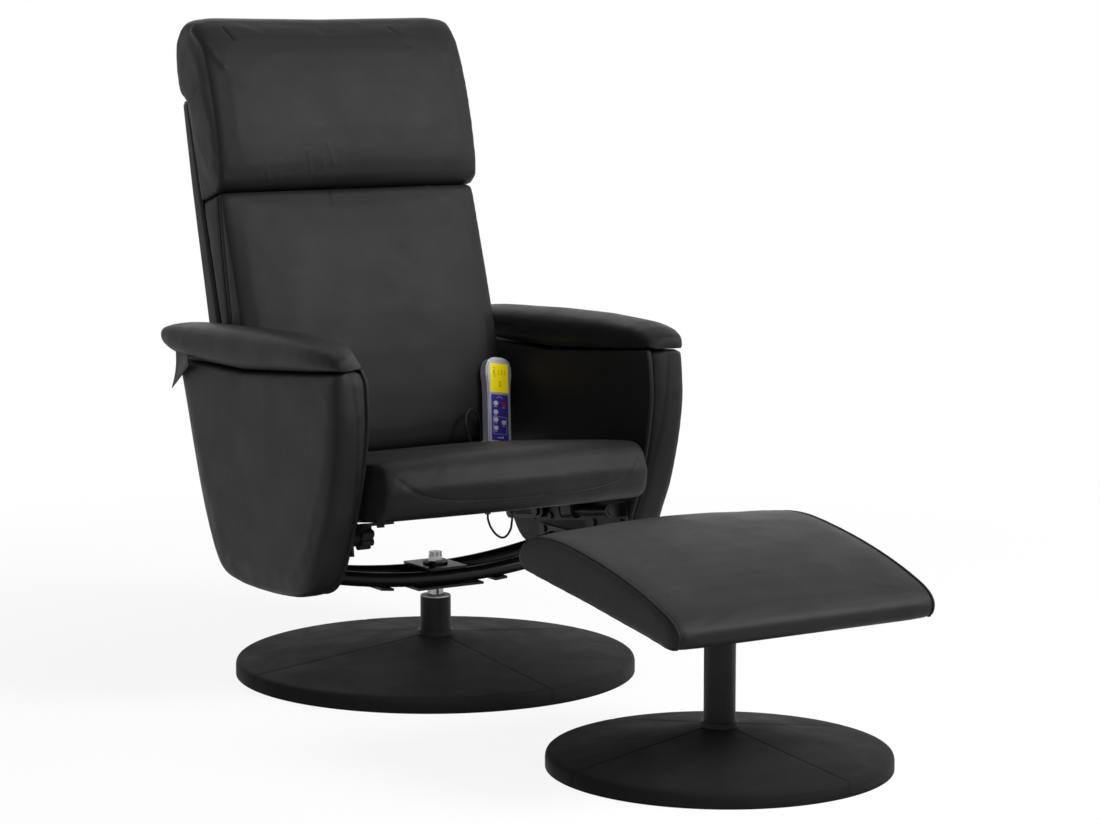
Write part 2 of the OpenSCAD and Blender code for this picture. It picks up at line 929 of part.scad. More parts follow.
module yoke_end_plates() {
  low = yoke_end_z - yoke_tube_d / 2 - end_plate_low;
  high = yoke_end_z + yoke_tube_d / 2 + end_plate_high;
  color(steel_black_colour)
    both_sides()
      side_plate(arm_in_x - end_plate_t, end_plate_t)
        difference() {
          translate([-end_plate_half_y, low]) square([2 * end_plate_half_y, high - low]);
          end_screw_places() circle(d = screw_d + 2 * screw_gap);
        }
}

// Screw along x whose head lies inwards of the plane x
module inward_screw(x, y, z, len) {
  side_rod(x - screw_head_h, screw_head_h, y, z, screw_head_d);
  side_rod(x, len, y, z, screw_d);
}

module frame_fasteners() {
  color(steel_black_colour) {
    difference() {
      translate([0, 0, yoke_top_z + yoke_plate_t]) cylinder(d = washer_d, h = washer_t);
      translate([0, 0, yoke_top_z]) cylinder(d = spindle_end_d, h = yoke_plate_t + washer_t + cut);
    }
    both_sides() {
      for (y = [-end_screw_y, end_screw_y])
        for (z = [-end_screw_low, end_screw_high])
          inward_screw(
            arm_in_x - end_plate_t,
            y,
            yoke_end_z + z,
            end_plate_t + arm_lining_t + arm_board_t - base_board_gap
          );
      leaned(seat_fall)
        for (p = side_screw_places)
          inward_screw(
            side_plate_x,
            p[0],
            slide_n + p[1],
            side_plate_t + arm_lining_t + arm_board_t - base_board_gap
          );
    }
  }
}

// Arms

function arm_place(p) = [p[0] * arm_len - arm_front, arm_bottom_h + p[1] * arm_panel_h];

arm_outline = concat(
  open_curve([for (p = arm_outline_shares) arm_place(p)], 2),
  [arm_place([arm_knee_share, arm_crease_rear_share])]
);

// Height of the arm's top line at y
function arm_crease(y) =
  let (
    along = (y + arm_front) / arm_len,
    rise = (arm_crease_front_share - arm_crease_rear_share) / (arm_knee_share - arm_outline_shares[0][0])
  )
    arm_place([along, arm_crease_rear_share + rise * max(0, arm_knee_share - along)])[1];

// Outline of the arm, drawn in by a share
module arm_shape(share) {
  polygon(scaled_ring(arm_outline, share));
}

// Holes that the frame's screws and the pivot bushes need in the arm
module arm_holes(x, t) {
  for (y = [-end_screw_y, end_screw_y])
    for (z = [-end_screw_low, end_screw_high])
      side_rod(x - cut, t + 2 * cut, y, yoke_end_z + z, screw_d + 2 * screw_gap);
  leaned(seat_fall)
    for (p = side_screw_places)
      side_rod(x - cut, t + 2 * cut, p[0], slide_n + p[1], screw_d + 2 * screw_gap);
  side_rod(x - cut, t + 2 * cut, pivot_y, pivot_z, pivot_pin_d + run_gap + 2 * bush_wall);
}

module arm_boards() {
  color(wood_colour)
    both_sides()
      difference() {
        side_plate(arm_board_x, arm_board_t) arm_shape(1 - arm_board_inset / arm_panel_h);
        arm_holes(arm_board_x, arm_board_t);
      }
}

module arm_linings() {
  color(leather_colour)
    both_sides()
      difference() {
        side_plate(arm_in_x, arm_lining_t) arm_shape(arm_lining_share);
        arm_holes(arm_in_x, arm_lining_t);
      }
}

module arm_cushion(side) {
  rings = [
    for (s = arm_bulge_shares)
      [
        for (p = scaled_ring(arm_outline, s[1]))
          [arm_board_x + s[0] * arm_soft_w, p[0], p[1]]
      ]
  ];
  color(leather_colour)
    on_side(side)
      difference() {
        loft(rings);
        side_plate(arm_board_x - cut, arm_board_t + cut)
          arm_shape(1 - (arm_board_inset - seat_gap) / arm_panel_h);
      }
}

module arm_pad(side) {
  middle_x = arm_out_x + seat_side_in - arm_pad_w / 2;
  rings = [
    for (s = arm_pad_shares)
      let (
        y = s[0] * arm_pad_len - arm_front,
        low = arm_crease(y) + seat_gap + arm_pad_h * s[3]
      )
        [
          for (p = box_ring(
            y,
            [-arm_pad_w * s[2] / 2, low],
            [arm_pad_w * s[2] / 2, low + arm_pad_h * s[1]],
            [1, 1, 1, 1] * arm_pad_h * s[1] * arm_pad_round_share,
            [arm_pad_h / 24, 0, 0, 0],
            4,
            3
          ))
            [middle_x - p[1], p[0], p[2]]
        ]
  ];
  color(leather_colour) on_side(side) loft(rings);
}

module arm_cushion_left() {
  arm_cushion(-1);
}

module arm_cushion_right() {
  arm_cushion(1);
}

module arm_pad_left() {
  arm_pad(-1);
}

module arm_pad_right() {
  arm_pad(1);
}

module pivot_bushes() {
  depth = arm_lining_t + arm_board_t - base_board_gap;
  color("white")
    both_sides()
      difference() {
        union() {
          side_rod(arm_in_x, depth, pivot_y, pivot_z, pivot_pin_d + run_gap + 2 * bush_wall);
          side_rod(
            arm_in_x - bush_flange_t,
            bush_flange_t,
            pivot_y,
            pivot_z,
            pivot_pin_d + 4 * bush_wall
          );
        }
        side_rod(
          arm_in_x - bush_flange_t - cut,
          depth + bush_flange_t + 2 * cut,
          pivot_y,
          pivot_z,
          pivot_pin_d + run_gap
        );
      }
}

// Slide under the seat

module slide_plate_outline() {
  translate([side_plate_front_a, slide_n - side_plate_low])
    square([side_plate_step_a - side_plate_front_a, side_plate_low + side_plate_high]);
  translate([side_plate_front_a, slide_n - side_plate_rear_low])
    square([side_plate_rear_a - side_plate_front_a, side_plate_rear_low + side_plate_high]);
}

// Ear of the right bracket that carries an end of the guide bar
module bar_ear(a) {
  translate([bar_x, a, slide_n]) rotate([-90, 0, 0]) cylinder(r = bar_ear_r, h = bar_ear_t);
  translate([bar_x, a, slide_n - bar_ear_r])
    cube([side_plate_x - bar_x, bar_ear_t, 2 * bar_ear_r]);
}

// Stud with a head, from the arm's bracket through the slot of the hanger
module rear_stud() {
  side_rod(hanger_x - stud_gap, side_plate_x - hanger_x + stud_gap, rear_stud_a, slide_n, stud_d);
  side_rod(hanger_x - stud_gap - stud_head_t, stud_head_t, rear_stud_a, slide_n, stud_head_d);
}

module slide_bracket() {
  difference() {
    side_plate(side_plate_x, side_plate_t) slide_plate_outline();
    for (p = side_screw_places)
      side_rod(
        side_plate_x - cut,
        side_plate_t + 2 * cut,
        p[0],
        slide_n + p[1],
        screw_d + 2 * screw_gap
      );
  }
  rear_stud();
}

module slide_brackets() {
  color(steel_black_colour)
    leaned(seat_fall) {
      difference() {
        union() {
          slide_bracket();
          bar_ear(bar_front_a);
          bar_ear(bar_rear_a - bar_ear_t);
        }
        translate([bar_x, bar_front_a - cut, slide_n])
          rotate([-90, 0, 0]) cylinder(d = guide_bar_d, h = bar_rear_a - bar_front_a + 2 * cut);
      }
      mirror([1, 0, 0]) {
        slide_bracket();
        side_rod(
          knob_x - knob_hub_h,
          side_plate_x - knob_x + knob_hub_h,
          front_stud_a,
          slide_n,
          stud_d
        );
      }
    }
}

module guide_bar() {
  color(steel_black_colour)
    leaned(seat_fall)
      translate([bar_x, bar_front_a - bar_ear_t / 2, slide_n])
        rotate([-90, 0, 0]) cylinder(d = guide_bar_d, h = bar_rear_a - bar_front_a + bar_ear_t);
}

module star_knob() {
  lobe_at = knob_d / 2 - knob_lobe_r;
  color(plastic_colour)
    leaned(seat_fall)
      translate([-knob_x, front_stud_a, slide_n])
        rotate([0, 90, 0])
          difference() {
            union() {
              cylinder(d = knob_hub_d, h = knob_hub_h);
              translate([0, 0, knob_hub_h])
                linear_extrude(height = knob_head_h) {
                  circle(r = lobe_at + knob_skin / 2);
                  for (i = [0:6])
                    rotate(360 * i / 7) translate([lobe_at, 0]) circle(r = knob_lobe_r);
                }
            }
            translate([0, 0, -cut])
              cylinder(d = stud_d + run_gap, h = knob_hub_h + knob_head_h + cut - knob_skin);
          }
}

// Seat

// The seat board's block, larger all round by gap, and longer downwards by over
module seat_board_block(gap, over) {
  front = seat_front - seat_board_front_in;
  translate([-seat_w / 2 + seat_board_in - gap, -front - gap, seat_under_h - over])
    cube([
      seat_w - 2 * seat_board_in + 2 * gap,
      front + seat_rear - seat_board_in + 2 * gap,
      seat_board_t + gap + over
    ]);
}

module seat_board() {
  color(wood_colour)
    leaned(seat_fall)
      difference() {
        seat_board_block(0, 0);
        for (side = [-1, 1])
          translate([side * seat_motor_x, seat_motor_a, seat_under_h - cut])
            cylinder(d = motor_d, h = seat_board_t + 2 * cut);
      }
}

module seat_cushion() {
  rings = [
    for (s = cushion_shares)
      let (
        fall = seat_crown * pow(s[0], 2),
        inset = seat_side_in * (1 - s[1]),
        r = seat_round * (0.55 + 0.45 * s[1])
      )
        box_ring(
          s[0] * seat_w / 2,
          [
            inset - seat_front - seat_bow * (1 - pow(s[0], 2)),
            seat_under_h
          ],
          [
            seat_rear - inset,
            seat_top_h - inset - fall / 3
          ],
          [r, r, r, seat_edge],
          [seat_crown * (1 - pow(s[0], 2)), seat_crown / 2, 0, seat_crown / 4]
        )
  ];
  dipped = [
    for (ring = rings)
      [
        for (p = ring)
          let (
            back_share = max(0, (p[1] - seat_dip_from_a) / (seat_rear - seat_dip_from_a)),
            high_share = (p[2] - seat_under_h) / seat_cushion_t
          )
            [p[0], p[1], p[2] - seat_dip * back_share * high_share]
      ]
  ];
  color(leather_colour)
    leaned(seat_fall)
      difference() {
        loft(dipped);
        seat_board_block(seat_gap, cut);
      }
}

module seat_cloth() {
  length = seat_front + seat_rear - 2 * cloth_edge - seat_board_front_in;
  color(plastic_colour)
    leaned(seat_fall)
      translate([-cloth_half_w, cloth_edge + seat_board_front_in - seat_front, seat_under_h - cloth_deep])
        difference() {
          cube([2 * cloth_half_w, length, cloth_deep]);
          translate([cloth_t, cloth_t, cloth_t])
            cube([2 * cloth_half_w - 2 * cloth_t, length - 2 * cloth_t, cloth_deep]);
        }
}

// Hanger of one side: a bar with its slots, an upright or two, and a flange under the board
module seat_hanger(front_a, slots) {
  foot_w = hanger_foot_w;
  difference() {
    union() {
      side_plate(hanger_x, plate_t) {
        bar_outline([front_a, slide_n], [rear_stud_a + travel + hanger_end / 2, slide_n], hanger_half);
        translate([hanger_post_a - foot_w, slide_n])
          square([foot_w, slide_drop]);
      }
      translate([hanger_x + plate_t - hanger_flange_w, hanger_post_a - foot_w, seat_under_h - plate_t])
        cube([hanger_flange_w, foot_w, plate_t]);
    }
    for (a = slots)
      side_plate(hanger_x - cut, plate_t + 2 * cut)
        bar_outline([a, slide_n], [a + travel, slide_n], (stud_d + pin_play) / 2);
  }
}

// Slanted front foot of the left hanger, up to the seat board
module front_foot() {
  side_plate(hanger_x, plate_t)
    polygon([
      [front_stud_a - hanger_half, slide_n],
      [front_stud_a, slide_n + hanger_half],
      [hanger_foot_a + hanger_foot_w, seat_under_h],
      [hanger_foot_a, seat_under_h],
      [hanger_foot_a, seat_under_h - plate_t]
    ]);
  translate([hanger_x + plate_t - hanger_flange_w, hanger_foot_a, seat_under_h - plate_t])
    cube([hanger_flange_w, hanger_foot_w, plate_t]);
}

// Lug behind the seat with the upright slot of the link pin
module link_lug() {
  slot_r = (link_pin_d + pin_play) / 2;
  difference() {
    union() {
      side_plate(lug_x, plate_t) {
        bar_outline(
          [link_a, link_n - link_dip],
          [link_a, link_n],
          slot_r + lug_wall
        );
        translate([lug_foot_a, seat_under_h - plate_t])
          square([link_a - lug_foot_a + slot_r + lug_wall, link_n - link_dip - seat_under_h + plate_t]);
        translate([hanger_post_a, seat_under_h - lug_strip_h])
          square([link_a - hanger_post_a, lug_strip_h]);
      }
      translate([lug_x + plate_t - hanger_flange_w, hanger_post_a, seat_under_h - plate_t])
        cube([hanger_flange_w, seat_rear - seat_board_in - hanger_post_a, plate_t]);
    }
    side_plate(lug_x - cut, plate_t + 2 * cut)
      bar_outline([link_a, link_n - link_dip], [link_a, link_n], slot_r);
  }
}

module seat_hangers() {
  color(steel_black_colour)
    leaned(seat_fall) {
      difference() {
        seat_hanger(rear_stud_a - hanger_end / 2, [rear_stud_a]);
        hanger_screws(screw_d + 2 * screw_gap, cut);
      }
      difference() {
        link_lug();
        lug_screws(screw_d + 2 * screw_gap, cut);
      }
      mirror([1, 0, 0]) {
        difference() {
          union() {
            seat_hanger(front_stud_a, [rear_stud_a, front_stud_a]);
            front_foot();
          }
          hanger_screws(screw_d + 2 * screw_gap, cut);
          foot_screws(screw_d + 2 * screw_gap, cut);
        }
        difference() {
          link_lug();
          lug_screws(screw_d + 2 * screw_gap, cut);
        }
      }
    }
}

// Screw up into the seat board, or its hole with an overrun
module up_screw(x, a, d, over) {
  translate([x, a, seat_under_h - plate_t - over]) cylinder(d = d, h = plate_t + 2 * over);
}

module hanger_screws(d, over) {
  up_screw(hanger_x - hanger_flange_w / 2, hanger_post_a - hanger_foot_w / 2, d, over);
}

module foot_screws(d, over) {
  up_screw(hanger_x - hanger_flange_w / 2, hanger_foot_a + hanger_foot_w / 2, d, over);
}

module lug_screws(d, over) {
  up_screw(lug_x - hanger_flange_w / 2, (seat_rear - seat_board_in + hanger_post_a) / 2, d, over);
}

module seat_screws() {
  color(steel_black_colour)
    leaned(seat_fall) {
      both_sides() {
        hanger_screws(screw_d, 0);
        translate([0, 0, -plate_t]) hanger_screws(screw_head_d, 0);
        lug_screws(screw_d, 0);
        translate([0, 0, -plate_t]) lug_screws(screw_head_d, 0);
      }
      mirror([1, 0, 0]) {
        foot_screws(screw_d, 0);
        translate([0, 0, -plate_t]) foot_screws(screw_head_d, 0);
      }
      hook_screws(screw_d, 0);
      translate([0, 0, -plate_t]) hook_screws(screw_head_d, 0);
    }
}

module hook_screws(d, over) {
  up_screw(bar_x - hanger_flange_w / 2, hook_front_a + hook_len / 2, d, over);
}

// Right-hand hanger that rides on the guide bar
module slide_hook() {
  hook_r = guide_bar_d / 2 + hook_wall;
  color(steel_black_colour)
    leaned(seat_fall)
      difference() {
        union() {
          translate([bar_x, hook_front_a, slide_n]) rotate([-90, 0, 0]) cylinder(r = hook_r, h = hook_len);
          translate([bar_x - hook_r, hook_front_a, slide_n])
            cube([plate_t, hook_len, slide_drop]);
          translate([bar_x - hanger_flange_w, hook_front_a, seat_under_h - plate_t])
            cube([hanger_flange_w, hook_len, plate_t]);
        }
        translate([bar_x, hook_front_a - cut, slide_n])
          rotate([-90, 0, 0]) cylinder(d = guide_bar_d + run_gap, h = hook_len + 2 * cut);
        hook_screws(screw_d + 2 * screw_gap, cut);
      }
}

// Vibration motor: a can with a flange on the board's far side
module motor(can_h) {
  cylinder(d = motor_d, h = can_h);
  translate([0, 0, -motor_flange_t]) cylinder(d = motor_flange_d, h = motor_flange_t);
}

module seat_motors() {
  color("dimgray")
    leaned(seat_fall)
      for (side = [-1, 1])
        translate([side * seat_motor_x, seat_motor_a, seat_under_h]) motor(seat_board_t - seat_gap);
}

// Electrics under the seat

module control_box() {
  box_top = seat_under_h - cloth_deep;
  color(plastic_colour)
    leaned(seat_fall)
      translate([box_x - box_w / 2, box_a - box_l / 2, box_top - box_h])
        difference() {
          cube([box_w, box_l, box_h]);
          translate([box_wall, box_wall, box_wall])
            cube([box_w - 2 * box_wall, box_l - 2 * box_wall, box_h - 2 * box_wall]);
          translate([box_w / 2, box_l - box_wall - cut, box_h / 2])
            rotate([-90, 0, 0]) cylinder(d = inlet_d, h = box_wall + 2 * cut);
        }
}

module power_inlet() {
  color("silver")
    leaned(seat_fall)
      translate([box_x, box_a + box_l / 2 - inlet_len + inlet_reach, seat_under_h - cloth_deep - box_h / 2])
        rotate([-90, 0, 0])
          difference() {
            cylinder(d = inlet_d, h = inlet_len);
            translate([0, 0, inlet_reach]) cylinder(d = inlet_d / 2, h = inlet_len);
          }
}

// Sleeve on the underside of the seat where an end of the loop goes in
module loop_gland(p) {
  gland_n = seat_under_h - cloth_deep;
  a = p[1] * cos(seat_fall) - p[2] * sin(seat_fall);
  n = p[1] * sin(seat_fall) + p[2] * cos(seat_fall);
  leaned(seat_fall) translate([p[0], a, n + seat_gap]) cylinder(d = gland_d, h = gland_n - n - seat_gap);
}

module harness_loop() {
  color(plastic_colour) swept_tube(loop_route, lead_d, [0, 1, 0]);
}

// Hand control

module remote_placed() {
  leaned(back_lean)
    translate([remote_x, remote_behind, remote_up]) rotate([0, remote_roll, 0]) children();
}

function remote_outline(inset) =
  let (
    half = [for (p = remote_outline_shares) [p[0] * remote_head_w, p[1] * remote_len]],
    ring = concat(half, [for (i = [len(half) - 1:-1:0]) [-half[i][0], half[i][1]]]),
    size = [remote_head_w / 2 - inset, remote_len / 2 - inset],
    whole = [remote_head_w / 2, remote_len / 2]
  )
    [
      for (p = ring)
        [p[0] * size[0] / whole[0], whole[1] + (p[1] - whole[1]) * size[1] / whole[1]]
    ];

// Layer of the hand control, from depth d to depth d + t behind its middle plane
module remote_layer(d, t, inset) {
  translate([0, d + t, 0]) rotate([90, 0, 0]) linear_extrude(height = t) polygon(remote_outline(inset));
}

// Upright plate of the hand control's front, from depth d, with its foot at h
module remote_plate(d, t, w, low, h) {
  translate([-w / 2, d, low]) cube([w, t, h]);
}

module key_hole(i, d, depth, over) {
  translate([key_places[i][0], depth, key_places[i][1]])
    rotate([-90, 0, 0]) cylinder(d = d, h = over);
}

remote_face = -remote_t / 2;
inlay_gap = 0.1;

module remote_back() {
  color([0.56, 0.56, 0.6])
    remote_placed()
      difference() {
        union() {
          remote_layer(0, remote_t / 2 - remote_round, 0);
          remote_layer(0, remote_t / 2, remote_round);
          translate(remote_sleeve_at)
            rotate([0, -remote_sleeve_turn, 0]) cylinder(d = remote_sleeve_d, h = remote_sleeve_len);
        }
        remote_layer(-cut, remote_t / 2 - remote_wall + cut, remote_round + remote_wall);
      }
  color([0.56, 0.56, 0.6])
    remote_placed()
      for (x = [-remote_post_x, remote_post_x])
        for (up = [remote_pcb_low + remote_post_x, remote_pcb_low + remote_pcb_h - remote_post_x])
          translate([x, key_under + key_gap + remote_pcb_t, up])
            rotate([-90, 0, 0])
              cylinder(
                d = remote_post_d,
                h = remote_t / 2 - remote_wall / 2 - key_under - key_gap - remote_pcb_t
              );
}

module remote_front() {
  color([0.56, 0.56, 0.6])
    remote_placed()
      difference() {
        union() {
          remote_layer(remote_face + remote_round, remote_t / 2 - remote_round - inlay_gap, 0);
          remote_layer(remote_face, remote_t / 2 - inlay_gap, remote_round);
        }
        remote_layer(
          remote_face + remote_wall + inlay_t,
          remote_t / 2,
          remote_round + remote_wall
        );
        remote_plate(remote_face - cut, cut + inlay_t + inlay_gap, screen_w, screen_low, screen_h);
        remote_plate(remote_face - cut, cut + inlay_t + inlay_gap, keypad_w, keypad_low, keypad_h);
        for (i = [0:len(key_places) - 1])
          key_hole(i, key_d + 2 * key_gap, remote_face - cut, remote_t / 2);
      }
}

module remote_screen() {
  color([0.8, 0.68, 0.05])
    remote_placed()
      remote_plate(
        remote_face,
        inlay_t,
        screen_w - 2 * inlay_gap,
        screen_low + inlay_gap,
        screen_h - 2 * inlay_gap
      );
}

module remote_keypad() {
  color([0.22, 0.18, 0.55])
    remote_placed()
      difference() {
        remote_plate(
          remote_face,
          inlay_t,
          keypad_w - 2 * inlay_gap,
          keypad_low + inlay_gap,
          keypad_h - 2 * inlay_gap
        );
        for (i = [0:len(key_places) - 1])
          key_hole(i, key_d + 2 * key_gap, remote_face - cut, remote_t / 2);
      }
}

key_under = remote_face + remote_wall + inlay_t + key_travel + key_lip_t + key_gap;

module remote_board() {
  color("darkgreen")
    remote_placed()
      remote_plate(key_under + key_gap, remote_pcb_t, remote_pcb_w, remote_pcb_low, remote_pcb_h);
}

// A key: its cap stands proud of the keypad, its lip stays behind the shell
module remote_key(i, colour) {
  lip_at = remote_face + remote_wall + inlay_t + key_gap / 2;
  color(colour)
    remote_placed() {
      key_hole(i, key_d, remote_face - key_proud, lip_at - remote_face + key_proud + key_lip_t);
      key_hole(i, key_d + 2 * key_gap + 2 * key_lip, lip_at, key_lip_t);
    }
}

module key_power() {
  remote_key(0, "red");
}

module key_head() {
  remote_key(1, "white");
}

module key_back() {
  remote_key(2, "white");
}

module key_seat() {
  remote_key(3, "white");
}

module key_level() {
  remote_key(4, "white");
}

module key_timer() {
  remote_key(5, "white");
}

// Route of the hand control's lead, from its foot round its left side and down behind it
lead_route = [
  [162, 126, 338.5],
  [158, 125.7, 337.3],
  [154, 125.2, 336.3],
  [149, 124.7, 336.8],
  [145, 124.2, 339.3],
  [141.5, 123.7, 343.8],
  [139, 123.7, 349.3],
  [136, 123.7, 356.3],
  [134, 123.7, 363.3],
  [132, 124.7, 371.3],
  [133, 126.7, 380.3],
  [136, 129.7, 388.3],
  [141, 132.7, 393.3],
  [148, 135.7, 395.3],
  [155, 137.7, 393.3],
  [161, 138.7, 387.3],
  [166, 139.7, 378.3],
  [169, 140.7, 367.3],
  [171, 141.7, 356.3],
  [172, 142.7, 347.3],
  [172, 142.7, 334]
];

module remote_lead() {
  color(plastic_colour) swept_tube(lead_route, lead_d, [0, 1, 0]);
}

// Sleeve on the seat's top where the hand control's lead goes in, seated on the cushion
module lead_gland(p) {
  a = p[1] * cos(seat_fall) - p[2] * sin(seat_fall);
  n = p[1] * sin(seat_fall) + p[2] * cos(seat_fall);
  difference() {
    leaned(seat_fall)
      translate([p[0], a, n - gland_h - gland_d])
        cylinder(d = gland_d, h = gland_h + gland_d - seat_gap);
    translate([0, seat_gap * sin(seat_fall), seat_gap * cos(seat_fall)]) seat_cushion();
  }
}

module lead_glands() {
  color(plastic_colour) {
    loop_gland(loop_route[0]);
    loop_gland(loop_route[len(loop_route) - 1]);
    lead_gland(lead_route[len(lead_route) - 1]);
  }
}

// Back

module back_board() {
  foot_h = board_ear_high - board_ear_low;
  color(wood_colour)
    leaned(back_lean)
      difference() {
        union() {
          translate([-board_half, back_board_at, board_foot])
            cube([2 * board_half, back_board_t, board_top - board_foot]);
          translate([-bracket_x, back_board_at, board_ear_low])
            cube([2 * bracket_x, back_board_t, foot_h]);
        }
        for (side = [-1, 1])
          for (up = [back_motor_low, back_motor_high])
            translate([side * back_motor_x, back_board_at - cut, up])
              rotate([-90, 0, 0]) cylinder(d = motor_d, h = back_board_t + 2 * cut);
      }
}

module back_cushion() {
  rings = [
    for (s = cushion_shares)
      let (
        bulge = back_crown * (1 - back_side_share * pow(s[0], 4)),
        inset = back_edge * (1 - s[1])
      )
        box_ring(
          s[0] * (back_w / 2 - pillow_skin),
          [back_front + inset, back_foot + inset],
          [back_board_at - seat_gap, back_seam - seat_gap],
          [back_edge, back_edge, back_round, back_edge],
          [0, bulge, 0, 0]
        )
  ];
  color(leather_colour) leaned(back_lean) loft(rings);
}

module head_pillow() {
  outline = open_curve(
    [
      for (p = pillow_outline_shares)
        [pillow_front + p[0] * pillow_depth, back_seam + p[1] * pillow_h]
    ],
    2
  );
  middle = mean_point(outline);
  step = outline[len(outline) - 1][1];
  rings = [
    for (s = pillow_shares)
      [
        for (p = outline)
          [
            s[0] * pillow_w / 2,
            middle[0] + (p[0] - middle[0]) * s[1],
            min(p[1], step) + max(0, p[1] - step) * s[2]
          ]
      ]
  ];
  color(leather_colour) leaned(back_lean) loft(rings);
}

// Outline of the rear cover from the side, drawn in by a wall
module cover_outline(front, wall) {
  depth = back_rear - front;
  low = cover_foot + wall;
  high = cover_top - wall;
  polygon(
    concat(
      [[front, high]],
      [for (p = cover_rear_shares) [front + depth * p[1] - wall, low + (high - low) * p[0]]],
      [[front, low]]
    )
  );
}

module back_cover() {
  front = back_board_at + seat_gap;
  half_w = back_w / 2 - pillow_skin;
  color(leather_colour)
    leaned(back_lean)
      difference() {
        side_plate(-half_w, 2 * half_w) cover_outline(front, 0);
        translate([0, -cut, 0])
          side_plate(cover_wall - half_w, 2 * half_w - 2 * cover_wall) cover_outline(front, cover_wall);
        translate([-bracket_x, front - cut, board_ear_low - ear_gap])
          cube([
            2 * bracket_x,
            back_board_t + ear_gap + cut,
            board_ear_high - board_ear_low + 2 * ear_gap
          ]);
      }
}

bracket_mid_t = back_board_at + back_board_t / 2;
bracket_high_w = board_ear_high - pivot_boss_r;
bracket_low_w = board_ear_low + pivot_boss_r;

module back_bracket() {
  difference() {
    side_plate(bracket_x, plate_t) {
      bar_outline([bracket_mid_t, bracket_low_w], [bracket_mid_t, bracket_high_w], link_boss_r);
      bar_outline([pivot_behind, pivot_up], [bracket_mid_t, pivot_up], pivot_boss_r);
      bar_outline([bracket_mid_t, bracket_low_w], [link_t, link_w], link_boss_r);
    }
    bracket_screw_holes(screw_d + 2 * screw_gap, bracket_x - cut, plate_t + 2 * cut);
  }
  side_rod(
    bracket_x + plate_t,
    bracket_out + arm_lining_t + arm_board_t - 2 * bush_flange_t,
    pivot_behind,
    pivot_up,
    pivot_pin_d
  );
  side_rod(lug_x - pin_end, bracket_x - lug_x + pin_end, link_t, link_w, link_pin_d);
}

module bracket_screw_holes(d, x, len) {
  for (w = [bracket_low_w, bracket_high_w])
    side_rod(x, len, bracket_mid_t, w, d);
}

module back_brackets() {
  color(steel_black_colour) leaned(back_lean) both_sides() back_bracket();
}

module bracket_screws() {
  color(steel_black_colour)
    leaned(back_lean)
      both_sides() {
        bracket_screw_holes(screw_d, bracket_x, plate_t);
        bracket_screw_holes(screw_head_d, bracket_x + plate_t, screw_head_h);
      }
}

module back_motors() {
  color("dimgray")
    leaned(back_lean)
      for (side = [-1, 1])
        for (up = [back_motor_low, back_motor_high])
          translate([side * back_motor_x, back_board_at + back_board_t, up])
            rotate([90, 0, 0]) motor(back_board_t - seat_gap);
}

// Footstool

module at_stool() {
  translate([stool_side, -stool_dist, 0]) children();
}

module stool_disc() {
  color(wood_colour)
    at_stool()
      disc_core(
        stool_base_d,
        stool_rim_h,
        stool_peak_h,
        stool_collar_d,
        stool_column_d,
        stool_flange_d,
        stool_flange_t,
        stool_screw_r
      );
}

module stool_cover() {
  color(leather_colour)
    at_stool()
      disc_cover(
        stool_base_d,
        stool_rim_h,
        stool_peak_h,
        stool_collar_d,
        stool_column_d + 2 * base_board_gap
      );
}

module stool_collar() {
  color(plastic_colour)
    at_stool() column_collar(stool_column_d, stool_collar_d, stool_collar_h, stool_peak_h);
}

// Places a piece on the sloping underside of the cushion, above the column
module on_stool_slope() {
  at_stool() translate([0, 0, stool_under_h]) rotate([stool_tilt, 0, 0]) children();
}

module stool_column() {
  top_half = stool_top_plate / 2;
  color(steel_black_colour) {
    at_stool()
      difference() {
        union() {
          cylinder(d = stool_flange_d, h = stool_flange_t);
          cylinder(d = stool_column_d, h = stool_under_h + plate_t);
        }
        translate([0, 0, stool_flange_t])
          cylinder(d = stool_column_d - 2 * stool_column_wall, h = stool_under_h + 2 * plate_t);
        round_pattern(stool_screw_r)
          translate([0, 0, -cut]) cylinder(d = screw_head_d, h = stool_flange_t + 2 * cut);
        translate([0, 0, stool_under_h])
          rotate([stool_tilt, 0, 0])
            translate([-top_half, -top_half, -plate_t / 2])
              cube([stool_top_plate, stool_top_plate, stool_top_plate]);
      }
    on_stool_slope()
      difference() {
        translate([-top_half, -top_half, -plate_t]) cube([stool_top_plate, stool_top_plate, plate_t]);
        round_pattern(stool_screw_r)
          translate([0, 0, -plate_t - cut]) cylinder(d = screw_d, h = plate_t + 2 * cut);
      }
  }
}

module stool_screws() {
  color(steel_black_colour) {
    at_stool() round_pattern(stool_screw_r) disc_screw(stool_flange_t);
    on_stool_slope()
      round_pattern(stool_screw_r) {
        translate([0, 0, -plate_t]) cylinder(d = screw_d, h = plate_t);
        translate([0, 0, -plate_t - screw_head_h]) cylinder(d = screw_head_d, h = screw_head_h);
      }
  }
}

module stool_board() {
  half_w = stool_w / 2 - stool_board_in;
  half_l = stool_depth / 2 - 2 * stool_board_in;
  color(wood_colour)
    on_stool_slope()
      translate([-half_w, -half_l, 0]) cube([2 * half_w, 2 * half_l, stool_board_h]);
}

